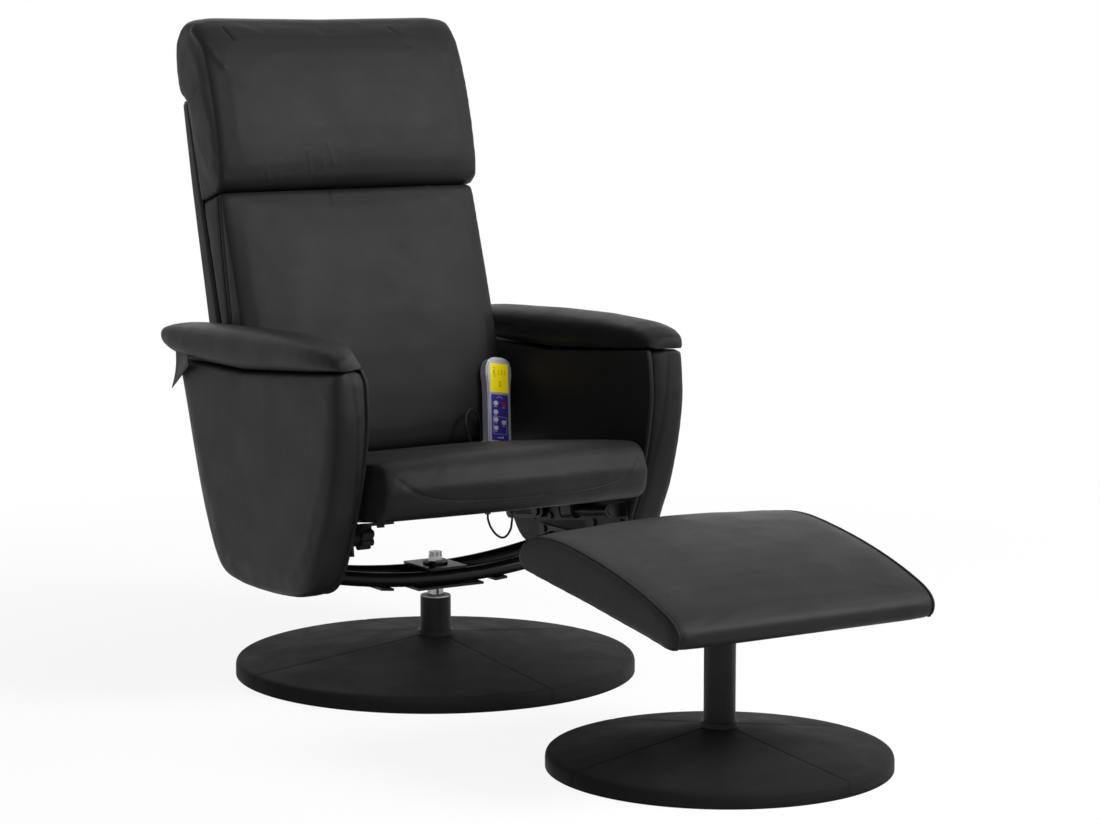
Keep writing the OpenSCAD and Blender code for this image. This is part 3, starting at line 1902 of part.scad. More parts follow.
module stool_cushion() {
  outline = closed_curve(
    [for (p = stool_outline_shares) [stool_y0 + p[0] * stool_depth, stool_front_h + p[1] * stool_rise]],
    2
  );
  middle = mean_point(outline);
  half_w = stool_w / 2 - stool_board_in;
  half_l = stool_depth / 2 - 2 * stool_board_in;
  rings = [
    for (s = stool_shares)
      let (crown = stool_crown * (1 - pow(s[0], 2)))
        [
          for (p = scaled_ring(outline, s[1]))
            [
              s[0] * stool_w / 2,
              p[0],
              p[1] + crown * max(0, (p[1] - middle[1]) / stool_rise * 2)
            ]
        ]
  ];
  color(leather_colour)
    difference() {
      at_stool() loft(rings);
      on_stool_slope()
        translate([-half_w, -half_l, -stool_rise])
          cube([2 * half_w, 2 * half_l, stool_rise + stool_board_h]);
    }
}

base_disc();
base_cover();
base_collar();
column_sleeve();
column_screws();
column_bushes();
stool_disc();
stool_cover();
stool_collar();
stool_column();
stool_screws();
stool_board();
stool_cushion();
spindle();
spindle_nut();
yoke_front_tube();
yoke_rear_tube();
yoke_plates();
yoke_end_plates();
frame_fasteners();
arm_boards();
arm_linings();
arm_cushion_left();
arm_cushion_right();
arm_pad_left();
arm_pad_right();
pivot_bushes();
slide_brackets();
guide_bar();
star_knob();
seat_board();
seat_cushion();
seat_cloth();
seat_hangers();
slide_hook();
seat_screws();
seat_motors();
control_box();
power_inlet();
harness_loop();
lead_glands();
remote_back();
remote_front();
remote_screen();
remote_keypad();
remote_board();
remote_lead();
key_power();
key_head();
key_back();
key_seat();
key_level();
key_timer();
back_board();
back_cushion();
head_pillow();
back_cover();
back_brackets();
bracket_screws();
back_motors();
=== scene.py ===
import math
import bmesh
import bpy
import numpy as np
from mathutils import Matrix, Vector


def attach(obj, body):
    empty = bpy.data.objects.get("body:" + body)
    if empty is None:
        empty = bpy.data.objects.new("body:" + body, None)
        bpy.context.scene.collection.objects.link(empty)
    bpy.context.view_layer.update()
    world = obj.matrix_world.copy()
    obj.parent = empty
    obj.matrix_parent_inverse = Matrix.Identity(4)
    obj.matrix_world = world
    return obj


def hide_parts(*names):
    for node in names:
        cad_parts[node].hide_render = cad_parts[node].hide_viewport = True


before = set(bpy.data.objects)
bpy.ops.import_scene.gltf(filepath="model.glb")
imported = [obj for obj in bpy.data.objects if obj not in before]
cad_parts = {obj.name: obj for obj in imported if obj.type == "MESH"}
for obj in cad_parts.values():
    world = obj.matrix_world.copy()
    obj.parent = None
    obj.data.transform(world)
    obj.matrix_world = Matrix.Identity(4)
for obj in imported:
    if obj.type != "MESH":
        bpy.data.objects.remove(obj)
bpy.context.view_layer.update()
scene = bpy.context.scene
scene.view_settings.view_transform = "Standard"

# Outlines and routes are in mm, those of the seat and the back in their own leaning coordinates; seams, creases,
# threads and grain are in metres
seatFall = 8  # degrees
backLean = 17  # degrees
armFront = 254  # ahead of the column
armLength = 554
armBottom = 156  # above the floor
armHeight = 350
stoolPlace = (18, -760)
bothSides = ((-1, "Left"), (1, "Right"))

print("camera")
camera = {"place": (-2.44094, -4.2048, 1.05578), "tilt": 82.506, "turn": -32.3, "lens": 100.776, "sensor": 36}


def linked(name, data):
    # the data as an object of the scene
    made = bpy.data.objects.new(name, data)
    scene.collection.objects.link(made)
    return made


def makeCamera(v):
    # the photograph's viewpoint, tilted about X and turned about Z
    data = bpy.data.cameras.new("photoCamera")
    data.lens = v["lens"]
    data.sensor_width = v["sensor"]
    made = linked("photoCamera", data)
    made.location = v["place"]
    made.rotation_euler = (math.radians(v["tilt"]), 0, math.radians(v["turn"]))
    scene.camera = made


makeCamera(camera)


def leaned(points, degrees):
    # (across, along, up) in mm turned about X, in metres: y = along cos + up sin, z = up cos - along sin
    p = np.asarray(points, float)
    a = math.radians(degrees)
    y = p[..., 1] * math.cos(a) + p[..., 2] * math.sin(a)
    z = p[..., 2] * math.cos(a) - p[..., 1] * math.sin(a)
    return np.stack([p[..., 0], y, z], -1) / 1000


def smoothPath(points, per, closed=False):
    # a Catmull-Rom curve: each stretch is the cubic of its two ends and their two neighbours
    p = np.asarray(points, float)
    if closed:
        a, b, c, d = np.roll(p, 1, 0), p, np.roll(p, -1, 0), np.roll(p, -2, 0)
    else:
        q = np.vstack([2 * p[0] - p[1], p, 2 * p[-1] - p[-2]])
        a, b, c, d = q[:-3], q[1:-2], q[2:-1], q[3:]
    f = (np.arange(per) / per)[None, :, None]
    a, b, c, d = (k[:, None, :] for k in (a, b, c, d))
    curve = b + f / 2 * (c - a + f * (2 * a - 5 * b + 4 * c - d + f * (3 * (b - c) + d - a)))
    curve = curve.reshape(-1, p.shape[1])
    return curve if closed else np.vstack([curve, p[-1]])


def evenPath(path, step=0.002, closed=False, count=None):
    # the same line, its points a fixed step apart or in a fixed count along its running length
    if closed:
        path = np.vstack([path, path[:1]])
    run = np.concatenate([[0], np.cumsum(np.linalg.norm(np.diff(path, axis=0), axis=1))])
    at = np.linspace(0, run[-1], (count or max(3, int(round(run[-1] / step)))) + 1)
    made = np.stack([np.interp(at, run, path[:, k]) for k in range(path.shape[1])], 1)
    return made[:-1] if closed else made


def sewnLine(points, degrees, per=6, step=0.002):
    # a smooth, even line through leaning points
    return evenPath(smoothPath(leaned(points, degrees), per), step)


def unit(v):
    # each row divided by its length
    return v / np.maximum(np.linalg.norm(v, axis=-1, keepdims=True), 1e-12)


def roundTurn(count):
    # even steps of a full turn
    return 2 * np.pi * np.arange(count) / count


def verticesOf(mesh, what="co"):
    # the points, or their normals, one to a row
    made = np.empty(len(mesh.vertices) * 3)
    mesh.vertices.foreach_get(what, made)
    return made.reshape(-1, 3)


def moveVertices(mesh, places):
    # each point goes to its new place
    mesh.vertices.foreach_set("co", np.asarray(places, float).ravel())
    mesh.update()


def shadeMesh(mesh, smooth=True):
    # every face smooth, or every face flat
    mesh.polygons.foreach_set("use_smooth", np.full(len(mesh.polygons), smooth))


def cleaned(mesh, weld, outwards):
    # points nearer than the weld become one, and the faces may turn outwards
    bm = bmesh.new()
    bm.from_mesh(mesh)
    if weld:
        bmesh.ops.remove_doubles(bm, verts=bm.verts, dist=weld)
    if outwards:
        bmesh.ops.recalc_face_normals(bm, faces=bm.faces)
    bm.to_mesh(mesh)
    bm.free()


def meshPiece(name, points, faces, weld=True):
    # points and faces as an object, turned outwards; the weld closes seams and poles
    mesh = bpy.data.meshes.new(name)
    mesh.from_pydata(np.asarray(points).tolist(), [], faces)
    mesh.update()
    cleaned(mesh, 1e-7 if weld else 0, True)
    shadeMesh(mesh)
    return linked(name, mesh)


def gridFaces(rows, cols, closedRows=False, closedCols=False):
    # a quad from each point to its right neighbour and the two below, round again where the grid is closed
    i = np.arange(rows if closedRows else rows - 1)[:, None]
    j = np.arange(cols if closedCols else cols - 1)[None, :]
    below, right = (i + 1) % rows, (j + 1) % cols
    quads = np.stack([i * cols + j, i * cols + right, below * cols + right, below * cols + j], -1)
    return quads.reshape(-1, 4).tolist()


def gridPiece(name, grid, closedRows=False, closedCols=True, tips=()):
    # rows of points become rows of quads, and each tip closes its end row with a fan of triangles
    rows, cols = grid.shape[:2]
    points = grid.reshape(-1, 3)
    faces = gridFaces(rows, cols, closedRows, closedCols)
    k = np.arange(cols)
    for row, tip in tips:
        faces += np.stack([row * cols + k, row * cols + (k + 1) % cols, np.full(cols, len(points))], 1).tolist()
        points = np.vstack([points, tip])
    return meshPiece(name, points, faces)


def tubePiece(name, path, radius, side, sides):
    # rings of a tube: centre + radius x (cos across + sin up), square to the path and level with the side direction
    along = unit(np.gradient(path, axis=0))
    up = unit(np.cross(along, side))
    across = np.cross(up, along)
    turn = roundTurn(sides)[:, None]
    reach = np.broadcast_to(np.asarray(radius, float), (len(path),))[:, None, None]
    grid = path[:, None] + reach * (np.cos(turn) * across[:, None] + np.sin(turn) * up[:, None])
    return gridPiece(name, grid, tips=((0, path[0]), (len(path) - 1, path[-1])))


print("cords")
cordValues = {
    "diameter": 0.0036, "sides": 14, "pointsPerStretch": 4,
    "lead": [[162, 126, 338.5], [158, 125.7, 337.3], [154, 125.2, 336.3], [149, 124.7, 336.8], [145, 124.2, 339.3],
        [141.5, 123.7, 343.8], [139, 123.7, 349.3], [136, 123.7, 356.3], [134, 123.7, 363.3], [132, 124.7, 371.3],
        [133, 126.7, 380.3], [136, 129.7, 388.3], [141, 132.7, 393.3], [148, 135.7, 395.3], [155, 137.7, 393.3],
        [161, 138.7, 387.3], [166, 139.7, 378.3], [169, 140.7, 367.3], [171, 141.7, 356.3], [172, 142.7, 347.3],
        [172, 142.7, 334]],
    "loop": [[38, -100, 262], [38, -100, 256], [40, -100, 249], [43, -100, 242], [47, -100, 236], [52, -100, 230],
        [57, -100, 226], [63, -100, 223], [69, -100, 223], [74, -100, 226], [78, -100, 231], [81, -100, 237],
        [82, -100, 244], [83, -100, 251], [83, -100, 257], [83, -100, 262]]}


def makeCord(name, route, node, v):
    # a round section carried along a smooth curve through the source's own route points
    path = smoothPath(np.array(route) / 1000, v["pointsPerStretch"])
    made = tubePiece(name, path, v["diameter"] / 2, np.array([0.0, 1.0, 0.0]), v["sides"])
    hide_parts(node)
    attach(made, "seat")
    return made


cords = [makeCord("handControlLead", cordValues["lead"], "remote_lead", cordValues),
         makeCord("cordLoopUnderSeat", cordValues["loop"], "harness_loop", cordValues)]

print("finishes")


def feed(node, inputs):
    # links each socket and sets each plain value
    for key, value in inputs.items():
        if isinstance(value, bpy.types.NodeSocket):
            node.id_data.links.new(value, node.inputs[key])
        else:
            node.inputs[key].default_value = value


def addNode(tree, kind, inputs, out=0, **settings):
    # the output of a new shader node with its settings and inputs
    made = tree.nodes.new("ShaderNode" + kind)
    for key, value in settings.items():
        setattr(made, key, value)
    feed(made, inputs)
    return made.outputs[out]


def newFinish(name):
    # a material, its tree, its shader and the object's own coordinates
    made = bpy.data.materials.new(name)
    made.use_nodes = True
    tree = made.node_tree
    return made, tree, tree.nodes["Principled BSDF"], addNode(tree, "TexCoord", {}, "Object")


def rangeOf(value, low, high, toLow=0.0, toHigh=1.0):
    # low to high becomes toLow to toHigh, and stops there
    return addNode(value.id_data, "MapRange", {0: value, 1: low, 2: high, 3: toLow, 4: toHigh})


def mixColour(factor, first, second):
    # first x (1 - factor) + second x factor
    return addNode(factor.id_data, "Mix", {0: factor, 6: first, 7: second}, 2, data_type="RGBA")


def noiseOf(place, scale, detail=3, roughness=0.5, distortion=0.0):
    # fractal noise about one half
    return addNode(place.id_data, "TexNoise", {"Vector": place, "Scale": scale, "Detail": detail,
                                               "Roughness": roughness, "Distortion": distortion})


def bumpOf(height, distance, strength, before=None):
    # the normal tilted by the height's slope
    inputs = {"Height": height, "Distance": distance, "Strength": strength}
    if before is not None:
        inputs["Normal"] = before
    return addNode(height.id_data, "Bump", inputs)


# seam is the dark tone of the painted shade in sunk seams and creases, and it also darkens the grain's crevices
leatherValues = {
    "tones": ((0.0125, 0.0125, 0.0135), (0.0165, 0.0165, 0.0176)), "toneScale": 5.0,
    "seam": (0.005, 0.005, 0.0055, 1), "grainSize": 0.0013, "grainDepth": 0.00012, "grainBend": 0.0009,
    "bendScale": 260.0, "creaseScale": 34.0, "creaseDepth": 0.0007, "glossScale": 18.0, "roughness": (0.34, 0.44),
    "gloss": 0.075}


def tonesOf(factor, v):
    # the dark tone x (1 - factor) + the light tone x factor
    return mixColour(factor, *((*tone, 1) for tone in v["tones"]))


def leatherFinish(name, v):
    # pebbled grain from Voronoi cell edges bent by noise, soft creases from broader noise, painted shade in sunk seams
    finish, tree, shader, place = newFinish(name)
    bend = addNode(tree, "TexNoise", {"Vector": place, "Scale": v["bendScale"], "Detail": 2.0}, "Color")
    bent = addNode(tree, "VectorMath", {0: bend, 1: (v["grainBend"],) * 3}, operation="MULTIPLY")
    at = addNode(tree, "VectorMath", {0: place, 1: bent}, operation="ADD")
    cells = addNode(tree, "TexVoronoi", {"Vector": at, "Scale": 1 / v["grainSize"]}, feature="DISTANCE_TO_EDGE")
    # the painted shade of sunk seams and creases, set on the pieces by carve and by the disc covers
    seam = addNode(tree, "Attribute", {}, "Fac", attribute_name="paintedGrooveShade")
    colour = tonesOf(rangeOf(noiseOf(place, v["toneScale"]), 0.35, 0.65), v)
    colour = mixColour(rangeOf(cells, 0.0, 0.08, 0.35, 0.0), colour, v["seam"])
    creases = bumpOf(noiseOf(place, v["creaseScale"], 7, 0.62, 0.7), v["creaseDepth"], 0.35)
    rough = noiseOf(place, v["glossScale"], 4)
    # the base colour goes towards the seam tone by the painted groove shade
    feed(shader, {"Base Color": mixColour(seam, colour, v["seam"]),
                  "Roughness": rangeOf(rough, 0.3, 0.7, *v["roughness"]),
                  "Normal": bumpOf(rangeOf(cells, 0.0, 0.22), v["grainDepth"], 0.8, creases),
                  "Specular IOR Level": v["gloss"]})
    return finish


plainValues = {
    "seamThread": {"tones": ((0.045, 0.045, 0.047), (0.075, 0.075, 0.078)), "rough": (0.6, 0.75), "size": 0.004,
        "grain": (0.0002, 0.0005), "gloss": 0.2},
    "blackPaintedSteel": {"tones": ((0.005, 0.005, 0.0055), (0.009, 0.009, 0.01)), "rough": (0.26, 0.38),
        "size": 0.05, "grain": (0.00004, 0.0012), "gloss": 0.2, "nodes": ["yoke_front_tube", "yoke_rear_tube",
        "yoke_plates", "yoke_end_plates"]},
    "satinSleeve": {"tones": ((0.009, 0.009, 0.0095), (0.014, 0.014, 0.0145)), "rough": (0.34, 0.44), "size": 0.04,
        "grain": (0.00005, 0.001), "gloss": 0.14, "nodes": ["column_sleeve", "stool_column"]},
    "blackedSteel": {"tones": ((0.007, 0.007, 0.0075), (0.014, 0.014, 0.015)), "rough": (0.36, 0.5), "size": 0.02,
        "grain": (0.00006, 0.0009), "gloss": 0.18, "nodes": ["slide_brackets", "guide_bar", "seat_hangers",
        "slide_hook", "back_brackets", "column_screws", "stool_screws", "frame_fasteners", "seat_screws",
        "bracket_screws"]},
    "chrome": {"tones": ((0.16, 0.16, 0.165), (0.42, 0.42, 0.43)), "rough": (0.08, 0.2), "size": 0.03,
        "grain": (0.00001, 0.002), "metal": 1.0, "nodes": ["spindle", "spindle_nut"]},
    "motorSteel": {"tones": ((0.2, 0.2, 0.21), (0.3, 0.3, 0.31)), "rough": (0.3, 0.45), "size": 0.02,
        "grain": (0.00004, 0.0006), "metal": 0.9, "nodes": ["seat_motors", "back_motors", "power_inlet"]},
    "blackPlastic": {"tones": ((0.009, 0.009, 0.0095), (0.015, 0.015, 0.0155)), "rough": (0.42, 0.55), "size": 0.03,
        "grain": (0.00008, 0.0007), "gloss": 0.16, "nodes": ["base_collar", "stool_collar", "star_knob",
        "control_box", "lead_glands"]},
    "bushPlastic": {"tones": ((0.68, 0.68, 0.65), (0.78, 0.78, 0.76)), "rough": (0.4, 0.52), "size": 0.02,
        "grain": (0.00003, 0.0006), "nodes": ["pivot_bushes", "column_bushes"]},
    "greyShell": {"tones": ((0.47, 0.475, 0.53), (0.53, 0.535, 0.59)), "rough": (0.3, 0.42), "size": 0.02,
        "grain": (0.00004, 0.0006), "nodes": ["remote_back", "remote_front"]},
    "yellowScreen": {"tones": ((0.84, 0.66, 0.0), (0.92, 0.74, 0.01)), "rough": (0.18, 0.3), "size": 0.02,
        "coat": 0.2, "glow": 0.25, "glowColour": (0.9, 0.7, 0.0, 1), "nodes": ["remote_screen"]},
    "bluePanel": {"tones": ((0.045, 0.03, 0.36), (0.06, 0.045, 0.44)), "rough": (0.25, 0.36), "size": 0.015,
        "nodes": ["remote_keypad"]},
    "redKey": {"tones": ((0.6, 0.02, 0.05), (0.7, 0.04, 0.07)), "rough": (0.3, 0.42), "size": 0.004,
        "nodes": ["key_power"]},
    "whiteKey": {"tones": ((0.82, 0.82, 0.86), (0.9, 0.9, 0.92)), "rough": (0.3, 0.42), "size": 0.004,
        "nodes": ["key_head", "key_back", "key_seat", "key_level", "key_timer"]},
    "circuitBoard": {"tones": ((0.01, 0.09, 0.035), (0.02, 0.15, 0.06)), "rough": (0.3, 0.5), "size": 0.006,
        "nodes": ["remote_board"]},
    "leadRubber": {"tones": ((0.01, 0.01, 0.01), (0.016, 0.016, 0.016)), "rough": (0.45, 0.6), "size": 0.01,
        "grain": (0.00004, 0.0006), "gloss": 0.2, "nodes": ["harness_loop", "remote_lead"]},
    "screenMarks": {"tones": ((0.1, 0.06, 0.0), (0.14, 0.09, 0.0)), "rough": (0.4, 0.5), "size": 0.004},
    "keypadMarks": {"tones": ((0.75, 0.76, 0.85), (0.85, 0.86, 0.92)), "rough": (0.4, 0.5), "size": 0.004}}


def plainFinish(name, v):
    # two tones mixed by broad noise, a roughness that drifts, and a fine bump where there is a grain
    finish, tree, shader, place = newFinish(name)
    broad = rangeOf(noiseOf(place, 1 / v["size"], 4, 0.55), 0.3, 0.7)
    drift = noiseOf(place, 3 / v["size"], 5, 0.6)
    feed(shader, {"Base Color": tonesOf(broad, v), "Roughness": rangeOf(drift, 0.3, 0.7, *v["rough"]),
                  "Metallic": v.get("metal", 0.0), "Specular IOR Level": v.get("gloss", 0.5),
                  "Coat Weight": v.get("coat", 0.0)})
    if "grain" in v:
        depth, size = v["grain"]
        feed(shader, {"Normal": bumpOf(noiseOf(place, 1 / size, 3, 0.6), depth, 0.6)})
    if "glow" in v:
        feed(shader, {"Emission Color": v["glowColour"], "Emission Strength": v["glow"]})
    return finish


boardLook = {"stretch": [(70, 240, 240)], "noise": (5, 0.6), "contrast": (0.35, 0.68), "bump": (0.0004, 0.5),
             "rough": (0.3, 0.7, 0.62, 0.8)}
fibreValues = {
    "pressedBoard": {**boardLook, "tones": ((0.42, 0.29, 0.17), (0.66, 0.5, 0.33)),
        "nodes": ["base_disc", "stool_disc", "stool_board"]},
    "stainedBoard": {**boardLook, "tones": ((0.009, 0.008, 0.0075), (0.018, 0.016, 0.0145)),
        "nodes": ["arm_boards", "seat_board", "back_board"]},
    "dustCloth": {
        "stretch": [(260, 1500, 600), (1500, 260, 600)], "noise": (3, 0.5), "contrast": (0.4, 0.75),
        "bump": (0.0003, 0.7), "rough": (0.3, 0.8, 0.9, 0.75), "nodes": ["seat_cloth"],
        "tones": ((0.008, 0.008, 0.008), (0.03, 0.03, 0.031))}}


def fibreFinish(name, v):
    # flecks or pressed fibres: the greater of the stretched noises sets tone, bump and roughness
    finish, tree, shader, place = newFinish(name)
    fibres = [noiseOf(addNode(tree, "Mapping", {"Vector": place, "Scale": stretch}), 1.0, *v["noise"])
              for stretch in v["stretch"]]
    fibre = fibres[0]
    for other in fibres[1:]:
        fibre = addNode(tree, "Math", {0: fibre, 1: other}, operation="MAXIMUM")
    feed(shader, {"Base Color": tonesOf(rangeOf(fibre, *v["contrast"]), v),
                  "Normal": bumpOf(fibre, *v["bump"]), "Roughness": rangeOf(fibre, *v["rough"])})
    return finish


def dress(piece, finish):
    # the finish becomes the piece's only one
    piece.data.materials.clear()
    piece.data.materials.append(finish)


leather = leatherFinish("fauxLeather", leatherValues)
baseLeather = leatherFinish("baseLeather", {**leatherValues, "grainSize": 0.0016, "roughness": (0.48, 0.6),
                                            "gloss": 0.015})
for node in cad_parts.values():
    dress(node, leather)
finishes = {}
for makeFinish, table in ((plainFinish, plainValues), (fibreFinish, fibreValues)):
    for name, v in table.items():
        finishes[name] = makeFinish(name, v)
        for node in v.get("nodes", ()):
            dress(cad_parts[node], finishes[name])
for cord in cords:
    dress(cord, finishes["leadRubber"])


def fitted(piece, body, node=None, finish=leather):
    # its finish, the body it rides and the solid it stands for, which it hides
    dress(piece, finish)
    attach(piece, body)
    if node:
        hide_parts(node)


print("soft pieces")


def settled(piece):
    # the piece with its modifiers worked into its mesh
    dg = bpy.context.evaluated_depsgraph_get()
    mesh = bpy.data.meshes.new_from_object(piece.evaluated_get(dg), depsgraph=dg)
    piece.modifiers.clear()
    old = piece.data
    piece.data = mesh
    mesh.name = piece.name
    bpy.data.meshes.remove(old)
    shadeMesh(mesh)
    return piece


def wrap(bm):
    # closes the points in their convex hull and drops those left inside
    made = bmesh.ops.convex_hull(bm, input=bm.verts)
    loose = [v for v in made["geom_interior"] if isinstance(v, bmesh.types.BMVert)]
    bmesh.ops.delete(bm, geom=loose, context="VERTS")


def hullOf(nodes, side, grow):
    # the convex hull of the nodes' points on one side, each moved outwards from the middle by grow
    points = np.vstack([verticesOf(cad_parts[n].data) for n in nodes])
    if side:
        points = points[points[:, 0] * side > 0]
    middle = (points.min(0) + points.max(0)) / 2
    points = np.unique(np.round(points, 5), axis=0)
    bm = bmesh.new()
    for p in points + np.sign(points - middle) * grow:
        bm.verts.new(p)
    wrap(bm)
    return bm


def distanceTo(points, line, reach):
    # least distance from each point to the line's points, and reach where it is farther
    made = np.full(len(points), reach)
    near = np.where(np.all((points > line.min(0) - reach) & (points < line.max(0) + reach), axis=1))[0]
    pairsAtOnce = 4000000
    for part in np.array_split(near, len(near) * len(line) // pairsAtOnce + 1):
        if len(part):
            gap = points[part][:, None] - line[None]
            made[part] = np.minimum(made[part], np.sqrt((gap ** 2).sum(-1).min(1)))
    return made


skinValues = {"voxel": 0.005, "slack": 0.004, "cap": 0.008, "pressure": 4, "stiffness": 14, "ease": 0.004,
              "seamWidth": 0.006, "relax": 4, "weld": 2e-5, "coreOverlap": 0.0015, "pocketGap": 0.0004}
clothSettings = {"quality": 5, "mass": 0.3, "bending_stiffness": 1.0, "use_pressure": True,
                 "vertex_group_mass": "held"}
swellValues = {"frames": 20, "share": 0.4, "least": -0.0015, "most": 0.002, "foldMost": 0.004, "evening": 16}


def softCopy(name, node, v, core=(), side=0):
    # the CAD form, filled where its board goes in, as one even skin of quads
    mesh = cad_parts[node].data.copy()
    cleaned(mesh, v["weld"], False)
    made = linked(name, mesh)
    if core:
        hull = hullOf(core, side, v["coreOverlap"])
        hull.from_mesh(mesh)
        hull.to_mesh(mesh)
        hull.free()
    skin = made.modifiers.new("skin", "REMESH")
    skin.mode = "VOXEL"
    skin.voxel_size = v["voxel"]
    smooth = made.modifiers.new("relax", "SMOOTH")
    smooth.factor = 0.5
    smooth.iterations = v["relax"]
    return settled(made)


def evened(mesh, value, times):
    # each point's value goes half way to the average of its neighbours, many times over
    ends = np.empty(len(mesh.edges) * 2, np.int32)
    mesh.edges.foreach_get("vertices", ends)
    a, b, n = ends[0::2], ends[1::2], len(mesh.vertices)
    count = np.maximum(np.bincount(a, minlength=n) + np.bincount(b, minlength=n), 1)
    for _ in range(times):
        value = (value + (np.bincount(a, value[b], n) + np.bincount(b, value[a], n)) / count) / 2
    return value


def blown(piece, hold, v, frames):
    # where air moves the skin's points to: cloth under pressure, pinned by weights in bands of a tenth
    group = piece.vertex_groups.new(name="held")
    for low in np.arange(0.1, 1.0, 0.1):
        top = low + 0.1 if low < 0.85 else 2
        group.add(np.where((hold >= low) & (hold < top))[0].tolist(), float(low + 0.05), "REPLACE")
    puff = piece.modifiers.new("puff", "CLOTH")
    for key, value in clothSettings.items():
        setattr(puff.settings, key, value)
    puff.settings.tension_stiffness = puff.settings.compression_stiffness = v["stiffness"]
    puff.settings.shrink_min = -v["ease"]
    puff.settings.uniform_pressure_force = v["pressure"]
    puff.settings.effector_weights.gravity = 0
    puff.point_cache.frame_start = 1
    puff.point_cache.frame_end = frames
    for step in range(1, frames + 1):
        scene.frame_set(step)
    moved = verticesOf(piece.evaluated_get(bpy.context.evaluated_depsgraph_get()).data)
    piece.modifiers.clear()
    piece.vertex_groups.clear()
    scene.frame_set(1)
    return moved


def puffed(piece, rests, seams, v):
    # air swells the skin, held where it rests and along its seams; the form takes the swelling's broad part and a
    # share of its folds, both capped, so that the leather stays taut
    mesh, s = piece.data, swellValues
    form, out = verticesOf(mesh), verticesOf(mesh, "normal")
    facing = (out @ unit(np.atleast_2d(np.asarray(rests, float))).T).max(1)
    hold = np.clip((facing - 0.5) / 0.35, 0, 1)
    for line in seams:
        hold = np.maximum(hold, np.exp(-(distanceTo(form, line, 0.05) / v["seamWidth"]) ** 2))
    start = form - out * v["slack"] * (1 - hold)[:, None]
    moveVertices(mesh, start)
    way = ((blown(piece, hold, v, s["frames"]) - start) * out).sum(1)
    broad = evened(mesh, np.clip(way, 0, v["cap"]), s["evening"])
    swell = np.clip((broad - np.median(broad)) * s["share"], s["least"], s["most"])
    folds = np.clip(evened(mesh, way, 1) - broad, -s["foldMost"], s["foldMost"]) * v["folds"]
    moveVertices(mesh, form + out * ((swell + folds) * (1 - hold))[:, None])
    finer = piece.modifiers.new("finer", "SUBSURF")
    finer.levels = finer.render_levels = 1
    settled(piece)


def setPaintedShade(mesh, paintedShade):
    # the share of painted shade at each point, darkening sunk seams and creases; the leather reads it
    layer = mesh.attributes.new("paintedGrooveShade", "FLOAT", "POINT")
    layer.data.foreach_set("value", paintedShade.astype(np.float32))


def carve(piece, lines):
    # near a line the surface moves along its normal by depth x exp(-(distance / width)^2), and where it sinks the
    # same bell, squared, gives the painted shade that darkens the groove
    mesh = piece.data
    places, out = verticesOf(mesh), verticesOf(mesh, "normal")
    paintedShade, push = np.zeros(len(places)), np.zeros(len(places))
    for line, width, depth in lines:
        bell = np.exp(-(distanceTo(places, line, width * 4) / width) ** 2)
        push += depth * bell
        # sunk lines also get painted shade, darkest along the line
        if depth < 0:
            paintedShade = np.maximum(paintedShade, bell)
    moveVertices(mesh, places + out * push[:, None])
    setPaintedShade(mesh, paintedShade ** 2)


def cutPocket(piece, nodes, side, slide, v):
    # takes out the room of the board, a hair larger than it and run out through the open side
    bm = hullOf(nodes, side, v["pocketGap"])
    for p in [q.co.copy() for q in bm.verts]:
        bm.verts.new(p + Vector(slide))
    wrap(bm)
    bmesh.ops.delete(bm, geom=bm.faces[:], context="FACES_KEEP_BOUNDARY")
    bmesh.ops.convex_hull(bm, input=bm.verts)
    bmesh.ops.recalc_face_normals(bm, faces=bm.faces)
    mesh = bpy.data.meshes.new("pocket")
    bm.to_mesh(mesh)
    bm.free()
    cutter = linked("pocket", mesh)
    cut = piece.modifiers.new("cut", "BOOLEAN")
    cut.operation = "DIFFERENCE"
    cut.solver = "EXACT"
    cut.object = cutter
    settled(piece)
    bpy.data.objects.remove(cutter)


def onSurface(piece, path, lift):
    # each point drops to the plane of the nearest surface point and rises by lift; neighbours are then averaged
    reach, pointsAtOnce, times = 0.03, 12, 3
    places, out = verticesOf(piece.data), verticesOf(piece.data, "normal")
    keep = np.all((places > path.min(0) - reach) & (places < path.max(0) + reach), axis=1)
    places, out = places[keep], out[keep]
    nearest = np.concatenate([((part[:, None] - places[None]) ** 2).sum(-1).argmin(1)
                              for part in np.array_split(path, len(path) // pointsAtOnce + 1)])
    base, normal = places[nearest], out[nearest]
    found = path - normal * ((path - base) * normal).sum(1, keepdims=True) + normal * lift
    for _ in range(times):
        found[1:-1] = (found[:-2] + 2 * found[1:-1] + found[2:]) / 4
        normal[1:-1] = unit(normal[:-2] + 2 * normal[1:-1] + normal[2:])
    return found, normal


def pipingOn(name, piece, line, v, body):
    # a round cord sewn in along the line, resting on the surface, tapered at its two ends
    path, normal = onSurface(piece, line, v["pipingLift"])
    run = np.linspace(0, 1, len(path))
    taper = np.clip(np.minimum(run, 1 - run) * len(path) / 3, 0.05, 1)
    fitted(tubePiece(name, path, v["pipingRadius"] * taper, normal, 10), body)


